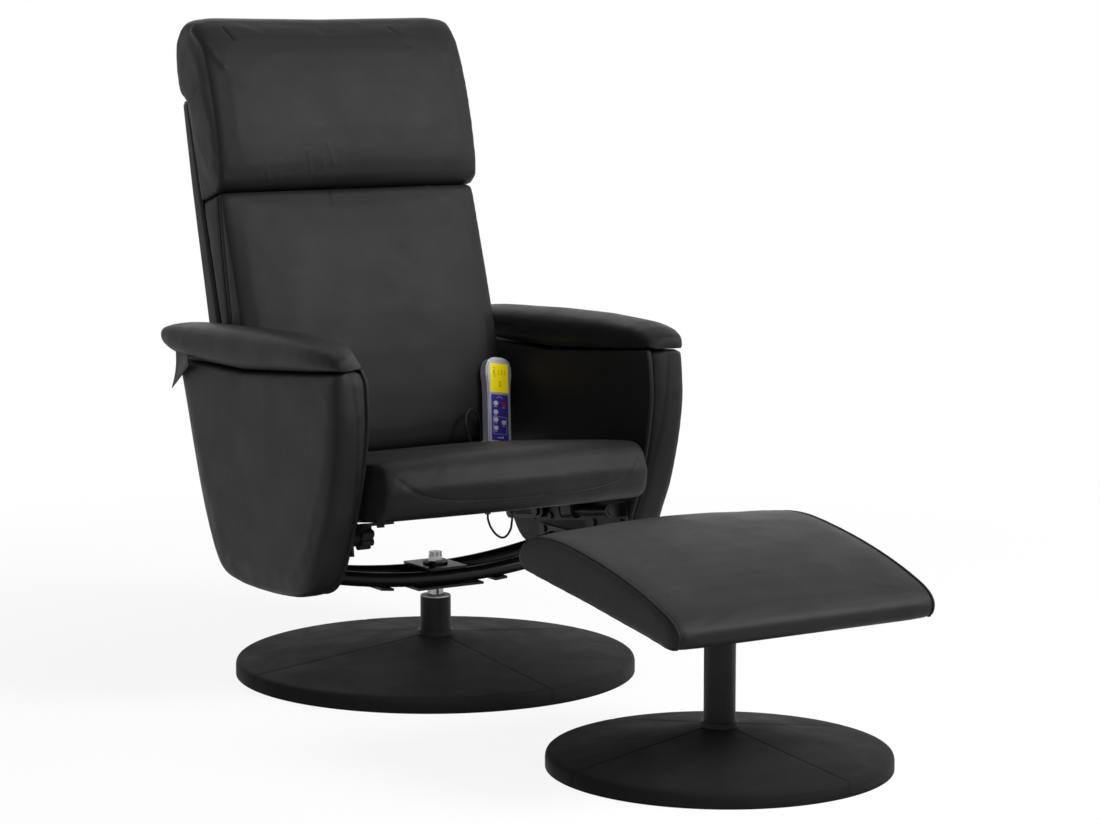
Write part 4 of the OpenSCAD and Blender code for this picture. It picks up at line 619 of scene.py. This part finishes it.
def stitchesOn(name, piece, line, v, body):
    # a closed bead for each stitch: a short tube whose radius follows a half circle, turned along the line
    path, normal = onSurface(piece, evenPath(line, v["stitchPitch"]), v["stitchLift"])
    along = unit(np.gradient(path, axis=0))
    across = unit(np.cross(along, normal))
    stations = np.array([-1, -0.7, 0.0, 0.7, 1.0]) * v["stitchLength"] / 2
    widths = np.array([0.05, 0.8, 1.0, 0.8, 0.05])
    turn = roundTurn(6)
    local = np.stack([np.repeat(stations, 6), np.outer(widths, np.cos(turn)).ravel() * v["stitchRadius"],
                      np.outer(widths, np.sin(turn)).ravel() * v["stitchRadius"]], 1)
    basis = np.stack([along, across, np.cross(across, along)], 1)
    points = path[:, None] + np.einsum("kc,ncd->nkd", local, basis)
    caps = [[5, 4, 3, 2], [5, 2, 1, 0], [24, 25, 26, 27], [24, 27, 28, 29]]
    one = np.array(gridFaces(5, 6, False, True) + caps)
    faces = (one[None] + 30 * np.arange(len(path))[:, None, None]).reshape(-1, 4).tolist()
    fitted(meshPiece(name, points.reshape(-1, 3), faces, weld=False), body, finish=finishes["seamThread"])


def creasesOf(v):
    # a leaning piece's creases as lines, widths and depths
    return [(sewnLine(p, backLean, step=0.001), width, depth) for p, width, depth in v["creases"]]


seatValues = {
    **skinValues, "cap": 0.009, "folds": 0.16, "seamWidth": 0.007, "creaseWidth": 0.0035, "seamDepth": -0.0022,
    "stitchPitch": 0.0062, "stitchLength": 0.0042, "stitchRadius": 0.00045, "stitchLift": 0.0004,
    "halfSeam": [[-234, 150, 334], [-234, 40, 338], [-234, -100, 341], [-234, -200, 341], [-233, -250, 339],
        [-226, -292, 330], [-206, -314, 308], [-176, -322, 289], [-130, -328, 279], [-66, -332, 275],
        [0, -334, 274]]}


def makeSeat(v):
    # one sewn line along the sides and round the front, mirrored about the middle
    print("  seat cushion")
    half = np.array(v["halfSeam"], float)
    seam = sewnLine(np.vstack([half, (half[:-1] * [-1, 1, 1])[::-1]]), seatFall, 8)
    made = softCopy("seatCushion", "seat_cushion", v, ["seat_board"])
    puffed(made, leaned([0, 0, -1], seatFall), [seam], v)
    carve(made, [(seam, v["creaseWidth"], v["seamDepth"])])
    cutPocket(made, ["seat_board"], 0, leaned([0, 0, -8], seatFall), v)
    fitted(made, "seat", "seat_cushion")
    stitchesOn("seatStitches", made, seam, v, "seat")


makeSeat(seatValues)
backValues = {
    **skinValues, "cap": 0.009, "ease": 0.005, "folds": 0.16, "seamWidth": 0.007, "creaseWidth": 0.003,
    "seamDepth": -0.002, "pipingRadius": 0.0022, "pipingLift": 0.0006, "seamSteps": (0, -12),
    "seam": [[-236, 56, 806], [-236, 63, 770], [-236, 70, 720], [-236, 78, 650], [-236, 84, 590], [-236, 89, 520],
        [-236, 92, 440], [-236, 93, 372]],
    "creases": [([[149, 45, 805], [163, 42, 794], [173, 41, 784], [177, 40, 767]], 0.0035, 0.0022),
        ([[127, 42.6, 802], [137, 41, 794], [146, 40.6, 786]], 0.003, 0.0018),
        ([[-157, 41.6, 797], [-160, 40, 785], [-162, 38.8, 772]], 0.003, -0.0015),
        ([[60, 40, 805], [66, 39, 793], [69, 37, 782]], 0.003, 0.001),
        ([[-40, 40, 805], [-43, 38, 792], [-42, 36, 780]], 0.003, -0.001)]}


def makeBack(v):
    # two sewn lines down each side, the front one piped, and creases under the pillow
    print("  back cushion")
    edge = np.array(v["seam"], float)
    seams = [sewnLine(edge * [-side, 1, 1] + [0, step, 0], backLean) for side in (-1, 1) for step in v["seamSteps"]]
    made = softCopy("backCushion", "back_cushion", v)
    puffed(made, leaned([[0, 1, 0], [0, 0, 1]], backLean), seams, v)
    carve(made, [(seam, v["creaseWidth"], v["seamDepth"]) for seam in seams] + creasesOf(v))
    fitted(made, "back", "back_cushion")
    for seam, (side, word) in zip(seams[::2], bothSides):
        pipingOn("backPiping" + word, made, seam, v, "back")


makeBack(backValues)
pillowValues = {
    **skinValues, "slack": 0.005, "cap": 0.011, "stiffness": 12, "ease": 0.008, "folds": 0.24,
    "creases": [([[-161, 18.5, 838], [-158, 22, 830], [-155, 25, 822]], 0.0028, 0.0016),
        ([[-138, 19, 836], [-137, 24, 823]], 0.0024, 0.0012),
        ([[-85, 12.7, 864], [-82, 16, 849], [-80, 19.5, 834]], 0.003, 0.0018),
        ([[-61.6, 14, 856], [-56, 18.6, 837]], 0.0026, 0.0014),
        ([[-47, 11, 875], [-42, 14, 859], [-38, 16.5, 844]], 0.003, 0.0018),
        ([[-195, 29, 1078], [-190, 23, 1066], [-186, 18, 1054]], 0.003, -0.0018),
        ([[112, 28, 1076], [124, 21, 1058], [137, 15, 1039]], 0.003, -0.0018),
        ([[-240, 49, 1079], [-234, 34, 1058], [-224, 14, 1027], [-214, 10, 1008]], 0.006, 0.003)]}


def makePillow(v):
    # fuller than the other cushions, with small creases along its lower and upper edges
    print("  head pillow")
    made = softCopy("headPillow", "head_pillow", v)
    puffed(made, leaned([[0, 1, 0], [0, 0, -1]], backLean), [], v)
    carve(made, creasesOf(v))
    fitted(made, "back", "head_pillow")


makePillow(pillowValues)
armValues = {
    **skinValues, "voxel": 0.0055, "cap": 0.0075, "pressure": 3.5, "stiffness": 16, "ease": 0.003, "folds": 0.1,
    "creaseWidth": 0.003, "seamDepth": -0.0004, "boardWay": 0.01,
    "seamAcross": [[0, 284], [0.06, 276], [0.2, 266], [0.45, 264], [1, 264]],  # share of the seam, mm
    "knee": [0.567, 0.972],
    "outline": [[0.012, 1.05], [0, 0.86], [0.012, 0.7], [0.034, 0.56], [0.063, 0.42], [0.098, 0.31], [0.12, 0.235],
        [0.165, 0.115], [0.226, 0.04], [0.323, 0.012], [0.5, 0], [0.65, 0.01], [0.735, 0.055], [0.803, 0.205],
        [0.854, 0.375], [0.904, 0.585], [0.965, 0.865], [1, 0.972]]}  # shares of the length and the height
padValues = {**skinValues, "folds": 0.14, "round": 0.011, "face": 0.2496}
noseValues = {"edge": 9, "left": 36, "right": 8, "low": 500, "high": 545, "inner": 250, "outer": 300,
              "behind": -110, "taper": 0.14, "taperFrom": -150, "taperOver": 104, "tipBack": 4}


def armOutline(scale=1.0):
    # the arm's side view: a smooth line through its shares, closed at the knee, scaled about its middle
    place = lambda shares: np.array(shares) * [armLength, armHeight] + [-armFront, armBottom]
    line = np.vstack([smoothPath(place(armValues["outline"]), 8), place([armValues["knee"]])])
    middle = line.mean(0)
    return middle + (line - middle) * scale


def noseSet(points, side):
    # the inner front corner stands back: y moves by (edge + height share x depth) x nearness to the inner face and
    # to the front
    v = noseValues
    ease = lambda q: np.clip(q, 0, 1) ** 2 * (3 - 2 * np.clip(q, 0, 1))
    p = np.array(points, float)
    across, along, up = p[..., 0] * side * 1000, p[..., 1] * 1000, p[..., 2] * 1000
    depth = v["edge"] + (v["left"] if side < 0 else v["right"]) * ease((up - v["low"]) / (v["high"] - v["low"]))
    share = np.clip((v["outer"] - across) / (v["outer"] - v["inner"]), 0, 1.04) ** 1.2
    p[..., 1] += depth * share * ease((v["behind"] - along) / (armFront + v["behind"])) / 1000
    return p


def noseNarrow(points, side):
    # the pad's front end draws in to the arm's own width, by a share that grows over its last stretch
    v = noseValues
    p = np.array(points, float)
    share = v["taper"] * np.clip((v["taperFrom"] - p[:, 1] * 1000) / v["taperOver"], 0, 1) ** 1.5
    p[:, 0] = side * (v["inner"] / 1000 + (p[:, 0] * side - v["inner"] / 1000) * (1 - share))
    p[:, 1] += v["tipBack"] / 1000 * share / v["taper"]
    return p


def squareUnder(mesh, node, side, reach, face):
    # near the lower inner edge, and the lower front edge, circles about the rounding's middle become squares
    places = verticesOf(mesh)
    form = verticesOf(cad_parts[node].data)
    stations = np.unique(np.round(form[:, 1], 4))
    low = np.array([form[np.abs(form[:, 1] - q) < 0.0002][:, 2].min() for q in stations])
    under = np.interp(places[:, 1], stations, low)
    for axis, way, edge in ((0, -side, -face), (1, -1, -form[:, 1].min())):
        a = (places[:, axis] * way - edge + reach) / reach
        b = (under + reach - places[:, 2]) / reach
        here = (a > 0) & (b > 0)
        long = np.hypot(a, b) / np.maximum(np.maximum(a, b), 1e-6)
        newA, newB = (np.where(q < 1, np.minimum(q * long, 1), q) for q in (a, b))
        places[here, 2] = (under + reach - newB * reach)[here]
        places[here, axis] = (way * (edge - reach + newA * reach))[here]
    moveVertices(mesh, places)


def makeArm(side, word, v, padSettings):
    # a line sewn round the outer face, a pocket for the board on the inner face, and the pad on top
    low = word.lower()
    print("  " + low + " arm")
    outline = armOutline()[:-1]
    across = np.interp(np.linspace(0, 1, len(outline)), *np.transpose(v["seamAcross"]))
    seam = evenPath(np.stack([across * side, outline[:, 0], outline[:, 1]], 1) / 1000)
    made = softCopy("armCushion" + word, "arm_cushion_" + low, v, ["arm_boards"], side)
    puffed(made, [[-side, 0, 0], [0, 0, 1]], [seam], v)
    moveVertices(made.data, noseSet(verticesOf(made.data), side))
    carve(made, [(noseSet(seam, side), v["creaseWidth"], v["seamDepth"])])
    cutPocket(made, ["arm_boards"], side, (-side * v["boardWay"], 0, 0), v)
    fitted(made, "chair_frame", "arm_cushion_" + low)
    pad = softCopy("armPad" + word, "arm_pad_" + low, padSettings)
    puffed(pad, [0, 0, -1], [], padSettings)
    squareUnder(pad.data, "arm_pad_" + low, side, padSettings["round"], padSettings["face"])
    moveVertices(pad.data, noseNarrow(noseSet(verticesOf(pad.data), side), side))
    fitted(pad, "chair_frame", "arm_pad_" + low)


for side, word in bothSides:
    makeArm(side, word, armValues, padValues)
stoolValues = {
    **skinValues, "folds": 0.12, "creaseWidth": 0.003, "seamDepth": -0.0014, "pipingRadius": 0.0021,
    "pipingLift": 0.0008, "half": 214, "length": 405, "middle": 0.525, "foot": 221, "height": 106, "inset": 0.985,
    "boardWay": (0, 0.0011, -0.008),
    "outline": [[0.025, 0], [0.09, 0.02], [0.89, 0.46], [0.97, 0.51], [1, 0.62], [0.985, 0.78], [0.93, 0.92],
        [0.86, 0.985], [0.73, 1], [0.58, 0.93], [0.42, 0.82], [0.26, 0.67], [0.13, 0.51], [0.04, 0.36],
        [0, 0.19]]}  # shares of the length and the height


def makeStool(v):
    # a piped line round each end, which is the side view drawn in towards its middle
    print("  footstool cushion")
    shares = np.array(v["outline"])
    ring = smoothPath((shares - [v["middle"], 0]) * [v["length"], v["height"]] + [0, v["foot"]], 8, True)
    middle = ring.mean(0)
    ring = middle + (ring - middle) * v["inset"]
    seams = []
    for side, word in bothSides:
        across = np.full(len(ring), stoolPlace[0] + side * v["half"])
        seams.append(evenPath(np.stack([across, stoolPlace[1] + ring[:, 0], ring[:, 1]], 1) / 1000, closed=True))
    made = softCopy("stoolCushion", "stool_cushion", v, ["stool_board"])
    puffed(made, [0, 0.13, -1], seams, v)
    carve(made, [(seam, v["creaseWidth"], v["seamDepth"]) for seam in seams])
    cutPocket(made, ["stool_board"], 0, v["boardWay"], v)
    fitted(made, "footstool", "stool_cushion")
    for seam, (side, word) in zip(seams, bothSides):
        pipingOn("stoolPiping" + word, made, np.vstack([seam, seam[:1]]), v, "footstool")


makeStool(stoolValues)

print("covers")
coverValues = {
    "half": 236, "foot": 380, "top": 986, "front": 112.4, "wall": 3.4, "round": 9, "crown": 3, "corner": 12,
    "deep": 45, "around": 300, "seamIn": 7, "seamEnd": 8, "seamWidth": 0.0026, "seamDepth": -0.0009,
    "rear": [[380, 158.8], [404, 163], [501, 164], [604, 162], [677, 158], [756, 154.2], [841, 149.5], [907, 143.5],
        [986, 136.1]]}


def coverDepth(v, x, w, rise):
    # from the front line by a share rise of the way to the rear line, less the crown's fall to the sides
    far = np.interp(w, *np.transpose(v["rear"])) - v["crown"] * (x / v["half"]) ** 2
    return v["front"] + (far - v["front"]) * rise


def coverRing(v, inset, rise):
    # a rectangle with round corners, drawn in by inset, at the depth of its rise
    reach = max(v["corner"] - inset, 3.0)
    turn = np.linspace(0, np.pi / 2, 10)
    rows = []
    for k, (sx, sz) in enumerate([(1, 1), (-1, 1), (-1, -1), (1, -1)]):
        angle = turn + k * np.pi / 2
        middle = v["top"] - inset - reach if sz > 0 else v["foot"] + inset + reach
        rows.append(np.stack([sx * (v["half"] - inset - reach) + reach * np.cos(angle),
                              middle + reach * np.sin(angle)], 1))
    x, w = evenPath(np.vstack(rows), closed=True, count=v["around"]).T
    return np.stack([x, coverDepth(v, x, w, rise), w], 1)


def coverPanel(v, last, rise):
    # the last ring shrunk towards its middle by even shares, each point at the panel's own depth
    middle = (last.min(0) + last.max(0)) / 2
    share = np.linspace(0.97, 0.03, 26)[:, None]
    x, w = (middle[k] + (last[:, k] - middle[k]) * share for k in (0, 2))
    return list(np.stack([x, coverDepth(v, x, w, rise), w], -1))


def makeBackCover(v):
    # two skins a wall apart: rings up the sides, round the rear edge by a quarter circle and in over the panel
    print("  rear cover")
    skins = []
    for inset, lift in ((v["wall"], 1.0 - v["wall"] / v["deep"]), (0, 1.0)):
        rings = [coverRing(v, inset, 0), coverRing(v, inset, 0.35)]
        for bend in np.linspace(0, np.pi / 2, 6):
            drawn = inset + v["round"] * (1 - math.cos(bend))
            rings.append(coverRing(v, drawn, lift - v["round"] / v["deep"] * (1 - math.sin(bend))))
        skins.append(rings + coverPanel(v, rings[-1], lift))
    grid = leaned(np.array(skins[0][::-1] + skins[1]), backLean)
    made = gridPiece("rearCover", grid, tips=((0, grid[0].mean(0)), (len(grid) - 1, grid[-1].mean(0))))
    up = np.linspace(v["foot"] + v["seamEnd"], v["top"] - v["seamEnd"], 60)
    depth = np.interp(up, *np.transpose(v["rear"])) - v["crown"] * 0.9
    across = np.full(60, v["half"] - v["seamIn"])
    seams = [evenPath(leaned(np.stack([side * across, depth, up], 1), backLean)) for side in (-1, 1)]
    carve(made, [(seam, v["seamWidth"], v["seamDepth"]) for seam in seams])
    fitted(made, "back", "back_cover")


makeBackCover(coverValues)
# the seams' dips are darkened by painted shade of this strength
discSeam = {"depth": 0.0007, "width": 0.0024, "paintedShade": 0.45, "around": 720}
baseValues = {"middle": (0, 0), "outer": 320, "rim": 24, "peak": 58, "top": 28, "hole": 24.7,
              "seams": (10, 82.5, 178, 273.5)}  # the seams' directions in degrees
stoolBaseValues = {"middle": stoolPlace, "outer": 245, "rim": 22, "peak": 56, "top": 26, "hole": 22.7,
                   "seams": (5, 95, 180, 280)}


def makeDiscCover(name, node, body, v, seam):
    # a profile of radius and height turned about the column; along each radial seam the cover dips by a bell of the
    # distance to it, downwards on the flank and inwards on the rim, and the same bell paints shade into the dip
    outer, rim, peak, top = v["outer"], v["rim"], v["peak"], v["top"]
    slope = lambda q: peak + (rim - peak) * (q - top) / (outer - 6 - top)
    flank = np.append(np.linspace(top + 12, outer - 14, 34), outer - 8)
    drops = np.array([[6, 0.3], [4, 1.0], [2.2, 2.4], [1, 4.4], [0.4, 6.4], [0, 9]])  # in from the edge, down
    r = np.concatenate([[v["hole"], top], flank, outer - drops[:, 0], [outer, outer]])
    z = np.concatenate([[peak, peak], slope(flank), rim - drops[:, 1], [9, 0]])
    lining = slice(len(flank), 0, -2)  # every other row of the flank again, on the inside
    radius = np.concatenate([r, outer - np.array([2, 2, 2.2, 8]), r[lining], [v["hole"]]])[:, None] / 1000
    height = np.concatenate([z, [0, rim - 9, rim - 7, rim - 2.6], z[lining] - 2, [peak - 2]])[:, None] / 1000
    turn = roundTurn(seam["around"])
    dip = np.zeros((len(radius), len(turn)))
    for degrees in v["seams"]:
        off = (turn - math.radians(degrees) + np.pi) % (2 * np.pi) - np.pi
        dip += np.exp(-((radius * np.sin(off)) / seam["width"]) ** 2) * (np.abs(off) < np.pi / 2)
    row = np.arange(len(radius))[:, None]
    dip = dip * ((row > 0) & (row < len(r) - 1))
    onFlank = row < len(flank) + 3
    across = np.where(onFlank, radius, radius - dip * seam["depth"])
    up = np.where(onFlank, height - dip * seam["depth"], height)
    x, y = (k / 1000 + across * way(turn) for k, way in zip(v["middle"], (np.cos, np.sin)))
    made = gridPiece(name, np.stack([x, y, up], -1), closedRows=True)
    # painted shade along the seams' dips
    setPaintedShade(made.data, dip.ravel() * seam["paintedShade"])
    fitted(made, body, node, finish=baseLeather)


makeDiscCover("baseCover", "base_cover", "chair_base", baseValues, discSeam)
makeDiscCover("stoolBaseCover", "stool_cover", "footstool", stoolBaseValues, discSeam)

print("linings")
liningValues = {"inner": 250, "outer": 256, "share": 0.987, "round": 5, "roundTop": 2, "rise": 2, "step": 4.0,
                "riseFrom": 450, "riseOver": 40}


def makeLinings(v):
    # rings of the arm's outline, drawn towards its middle, rise to the full thickness over the rounded edge
    outline = evenPath(armOutline(v["share"]), v["step"], True)
    high = np.clip((outline[:, 1] - v["riseFrom"]) / v["riseOver"], 0, 1)
    outline[:, 1] += v["rise"] * high
    rounding = (v["round"] + (v["roundTop"] - v["round"]) * high)[:, None]
    middle = outline.mean(0)
    reach = np.linalg.norm(outline - middle, axis=1)[:, None]
    rings = [(outline, v["outer"])]
    for s in np.linspace(0, 1, 9)[1:]:
        thickness = (v["outer"] - v["inner"]) * math.sqrt(1 - (1 - s) ** 2)
        rings.append((middle + (outline - middle) * (1 - rounding * s / reach), v["outer"] - thickness))
    last = rings[-1][0]
    rings += [(middle + (last - middle) * s, v["inner"]) for s in (0.8, 0.55, 0.3, 0.1)]
    for side, word in bothSides:
        grid = np.array([np.stack([np.full(len(p), x * side), p[:, 0], p[:, 1]], 1) for p, x in rings]) / 1000
        ends = noseSet(np.array([[v[face] * side, *middle] for face in ("outer", "inner")]) / 1000, side)
        made = gridPiece("armLining" + word, noseSet(grid, side), tips=((0, ends[0]), (len(grid) - 1, ends[1])))
        fitted(made, "chair_frame", "arm_linings")


makeLinings(liningValues)

print("dust cloth")
dustValues = {"halfWidth": 180, "low": -236, "high": 132, "top": 255.4, "sag": 3.2, "folds": (0.2, 0.16),
              "waves": (41, 47), "foldReach": 0.12, "thickness": 0.0005}


def thickened(piece, thickness, offset):
    # a sheet with its wall: inwards at offset -1, both ways at 0
    thick = piece.modifiers.new("thickness", "SOLIDIFY")
    thick.thickness = thickness
    thick.offset = offset
    settled(piece)


def makeDustCloth(v):
    # it sags by the product of two half waves between its stapled edges, with small folds near them
    u, w = np.meshgrid(np.linspace(-1, 1, 121), np.linspace(0, 1, 121))
    edge = (1 - u ** 2) * (4 * w * (1 - w))
    fold = sum(depth * np.sin(way * waves) * np.exp(-(1 - np.abs(other)) / v["foldReach"]) for depth, way, waves, other
               in zip(v["folds"], (u, w), v["waves"], (2 * w - 1, u)))
    up = v["top"] - v["sag"] * edge ** 0.6 + fold * (np.abs(u) < 0.999)
    grid = leaned(np.stack([u * v["halfWidth"], v["low"] + w * (v["high"] - v["low"]), up], -1), seatFall)
    made = gridPiece("dustCloth", grid, closedCols=False)
    thickened(made, v["thickness"], 0)
    fitted(made, "seat", "seat_cloth", finish=finishes["dustCloth"])


makeDustCloth(dustValues)

print("marks on the hand control")
markValues = {"roll": 9, "place": (189, 16.5, 354.4), "screenFace": -11.3, "keypadFace": -11, "half": 0.12,
              "stroke": 0.7}


def atRemote(points, v):
    # the hand control's own (across, depth, up) in mm, rolled about the depth axis, then put along the back
    p = np.asarray(points, float)
    a = math.radians(v["roll"])
    x = p[..., 0] * math.cos(a) + p[..., 2] * math.sin(a)
    z = p[..., 2] * math.cos(a) - p[..., 0] * math.sin(a)
    return leaned(np.stack([x, p[..., 1], z], -1) + np.array(v["place"]), backLean)


def markBars(name, bars, front, v):
    # each bar is a thin flat box given by its middle, width and height on the face
    b = np.array(bars, float)
    corner = np.array([[-1, -1], [1, -1], [1, 1], [-1, 1]]) / 2
    flat = b[:, None, :2] + corner[None] * b[:, None, 2:4]
    points = np.concatenate([np.stack([flat[..., 0], np.full(flat.shape[:2], front + d), flat[..., 1]], -1)
                             for d in (v["half"], -v["half"])], 1)
    box = np.array([[0, 1, 2, 3], [7, 6, 5, 4], [0, 4, 5, 1], [1, 5, 6, 2], [2, 6, 7, 3], [3, 7, 4, 0]])
    faces = (box[None] + 8 * np.arange(len(b))[:, None, None]).reshape(-1, 4).tolist()
    made = meshPiece(name, atRemote(points, v).reshape(-1, 3), faces, weld=False)
    shadeMesh(made.data, False)
    dress(made, finishes[name])
    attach(made, "seat")


def digitBars(across, up, width, height, segments):
    # one figure as seven bars: top, two upper sides, middle, two lower sides, bottom
    w, h, t = width / 2, height / 2, markValues["stroke"]
    every = {"a": (0, h, width, t), "b": (w, h / 2, t, h), "c": (w, -h / 2, t, h), "d": (0, -h, width, t),
             "e": (-w, -h / 2, t, h), "f": (-w, h / 2, t, h), "g": (0, 0, width, t)}
    return [(across + every[s][0], up + every[s][1], every[s][2], every[s][3]) for s in segments]


screenBars = digitBars(-9, 122, 4, 7, "adefg") + [(-9, 129, 7, 0.7), (-9, 115, 7, 0.7)]
for k, across in enumerate((-2, 4, 10)):
    screenBars += [(across, 122, 0.8, 3.2), (across, 118.6, 2.6, 0.6), (across, 125.4, 2.6 - 0.5 * k, 0.6)]
screenBars += digitBars(1, 103, 3.6, 6.4, "abcdef") + [(1, 97.6, 5.2, 0.6)]
padBars = [
    (-8, 63.2, 5.5, 0.8), (8, 62.2, 5, 0.8), (-8, 48.3, 5.5, 0.8), (-8, 35.2, 5.5, 0.8), (-8, 21.2, 5.5, 0.8),
    (7, 30.6, 5, 0.8), (0, 80, 9, 0.8), (-5, 78, 0.8, 2), (5, 78, 0.8, 2), (0, 46.2, 25, 0.5), (0, 17, 25, 0.5),
    (-12.5, 31.6, 0.5, 29.2), (12.5, 31.6, 0.5, 29.2), (0, 11, 9, 1.6), (5, 11.8, 2.2, 3)]
markBars("screenMarks", screenBars, markValues["screenFace"], markValues)
markBars("keypadMarks", padBars, markValues["keypadFace"], markValues)

print("fabric flap")
flapValues = {"across": -317, "corners": [[283, 507], [293, 446], [226, 490], [236, 505]], "thickness": 0.0014,
              "bow": 2.5, "tipBow": 3.5, "flat": (0.071, 0.056), "area": 0.0026}


def makeFlap(v):
    # a tab of leather under the rear of the left pad: a bowed grid between its long edge and its tip
    a, b, c, d = (np.array(k, float) for k in v["corners"])
    u, w = (k[..., None] for k in np.meshgrid(np.linspace(0, 1, 25), np.linspace(0, 1, 25)))
    flat = (a * (1 - u) + d * u) * (1 - w) + (b * (1 - u) + c * u) * w
    bow = v["bow"] * np.sin(np.pi * w) * np.cos(3 * u) - v["tipBow"] * w ** 2
    made = gridPiece("armFlapLeft", np.concatenate([v["across"] + bow, flat], -1) / 1000, closedCols=False)
    thickened(made, v["thickness"], -1)
    fitted(made, "chair_frame")


makeFlap(flapValues)

print("floor and light")
studio = {"lamps": {"key": ((1.35, -2.2, 2.2), 1.4, 118), "fill": ((-2.2, -3.0, 1.6), 2.6, 12),
                    "side": ((3.0, -0.9, 1.3), 1.6, 14), "rear": ((0.4, 2.6, 2.8), 2.2, 13)},  # place, size, power
          "aim": (0.0, -0.2, 0.5), "world": 0.22, "floor": (0.88, 0.88, 0.88, 1), "floorDrop": 0.0006,
          "fade": (0.6, 2.0, 0.88, 1.0), "radii": (0.5, 1.0, 2.0, 4.0, 8.0, 16.0, 30.0)}


def softLamp(name, place, size, power, target):
    # a round lamp whose axis points at the target
    data = bpy.data.lights.new(name, "AREA")
    data.shape = "DISK"
    data.size = size
    data.energy = power
    made = linked(name, data)
    made.location = place
    aim = np.array(target) - np.array(place)
    made.rotation_euler = (math.atan2(math.hypot(aim[0], aim[1]), -aim[2]), 0, math.atan2(-aim[0], aim[1]))


def seenRays(tree):
    # 1 for what the camera sees, and 0 for light that only bounces
    found = addNode(tree, "LightPath", {}, "Is Camera Ray")
    rays = found.node.outputs
    for kind in ("Is Glossy Ray", "Is Transmission Ray"):
        found = addNode(tree, "Math", {0: found, 1: rays[kind]}, operation="MAXIMUM")
    return found


def makeStudio(v):
    # a level world that looks white, and a floor that turns into that white away from the object
    world = bpy.data.worlds.new("studio")
    scene.world = world
    world.use_nodes = True
    tree = world.node_tree
    feed(tree.nodes["Background"], {"Color": (1, 1, 1, 1),
                                    "Strength": rangeOf(seenRays(tree), 0.0, 1.0, v["world"], 1.0)})
    turn = roundTurn(96)
    rings = np.array(v["radii"])[:, None]
    grid = np.stack([rings * np.cos(turn), rings * np.sin(turn), np.zeros((len(rings), len(turn)))], -1)
    floor = gridPiece("studioFloor", grid, tips=((0, np.zeros(3)),))
    if floor.data.polygons[0].normal.z < 0:
        floor.data.flip_normals()
    floor.location.z = -v["floorDrop"]
    finish, tree, shader, place = newFinish("paleFloor")
    feed(shader, {"Base Color": v["floor"], "Roughness": 0.8})
    far = addNode(tree, "VectorMath", {0: place}, "Value", operation="LENGTH")
    both = addNode(tree, "Math", {0: rangeOf(far, *v["fade"]), 1: seenRays(tree)}, operation="MULTIPLY")
    glow = addNode(tree, "Emission", {"Color": (1, 1, 1, 1), "Strength": 1.0})
    mix = addNode(tree, "MixShader", {0: both, 1: shader.outputs[0], 2: glow})
    feed(tree.nodes["Material Output"], {"Surface": mix})
    dress(floor, finish)
    for name, lamp in v["lamps"].items():
        softLamp(name + "Lamp", *lamp, v["aim"])


makeStudio(studio)
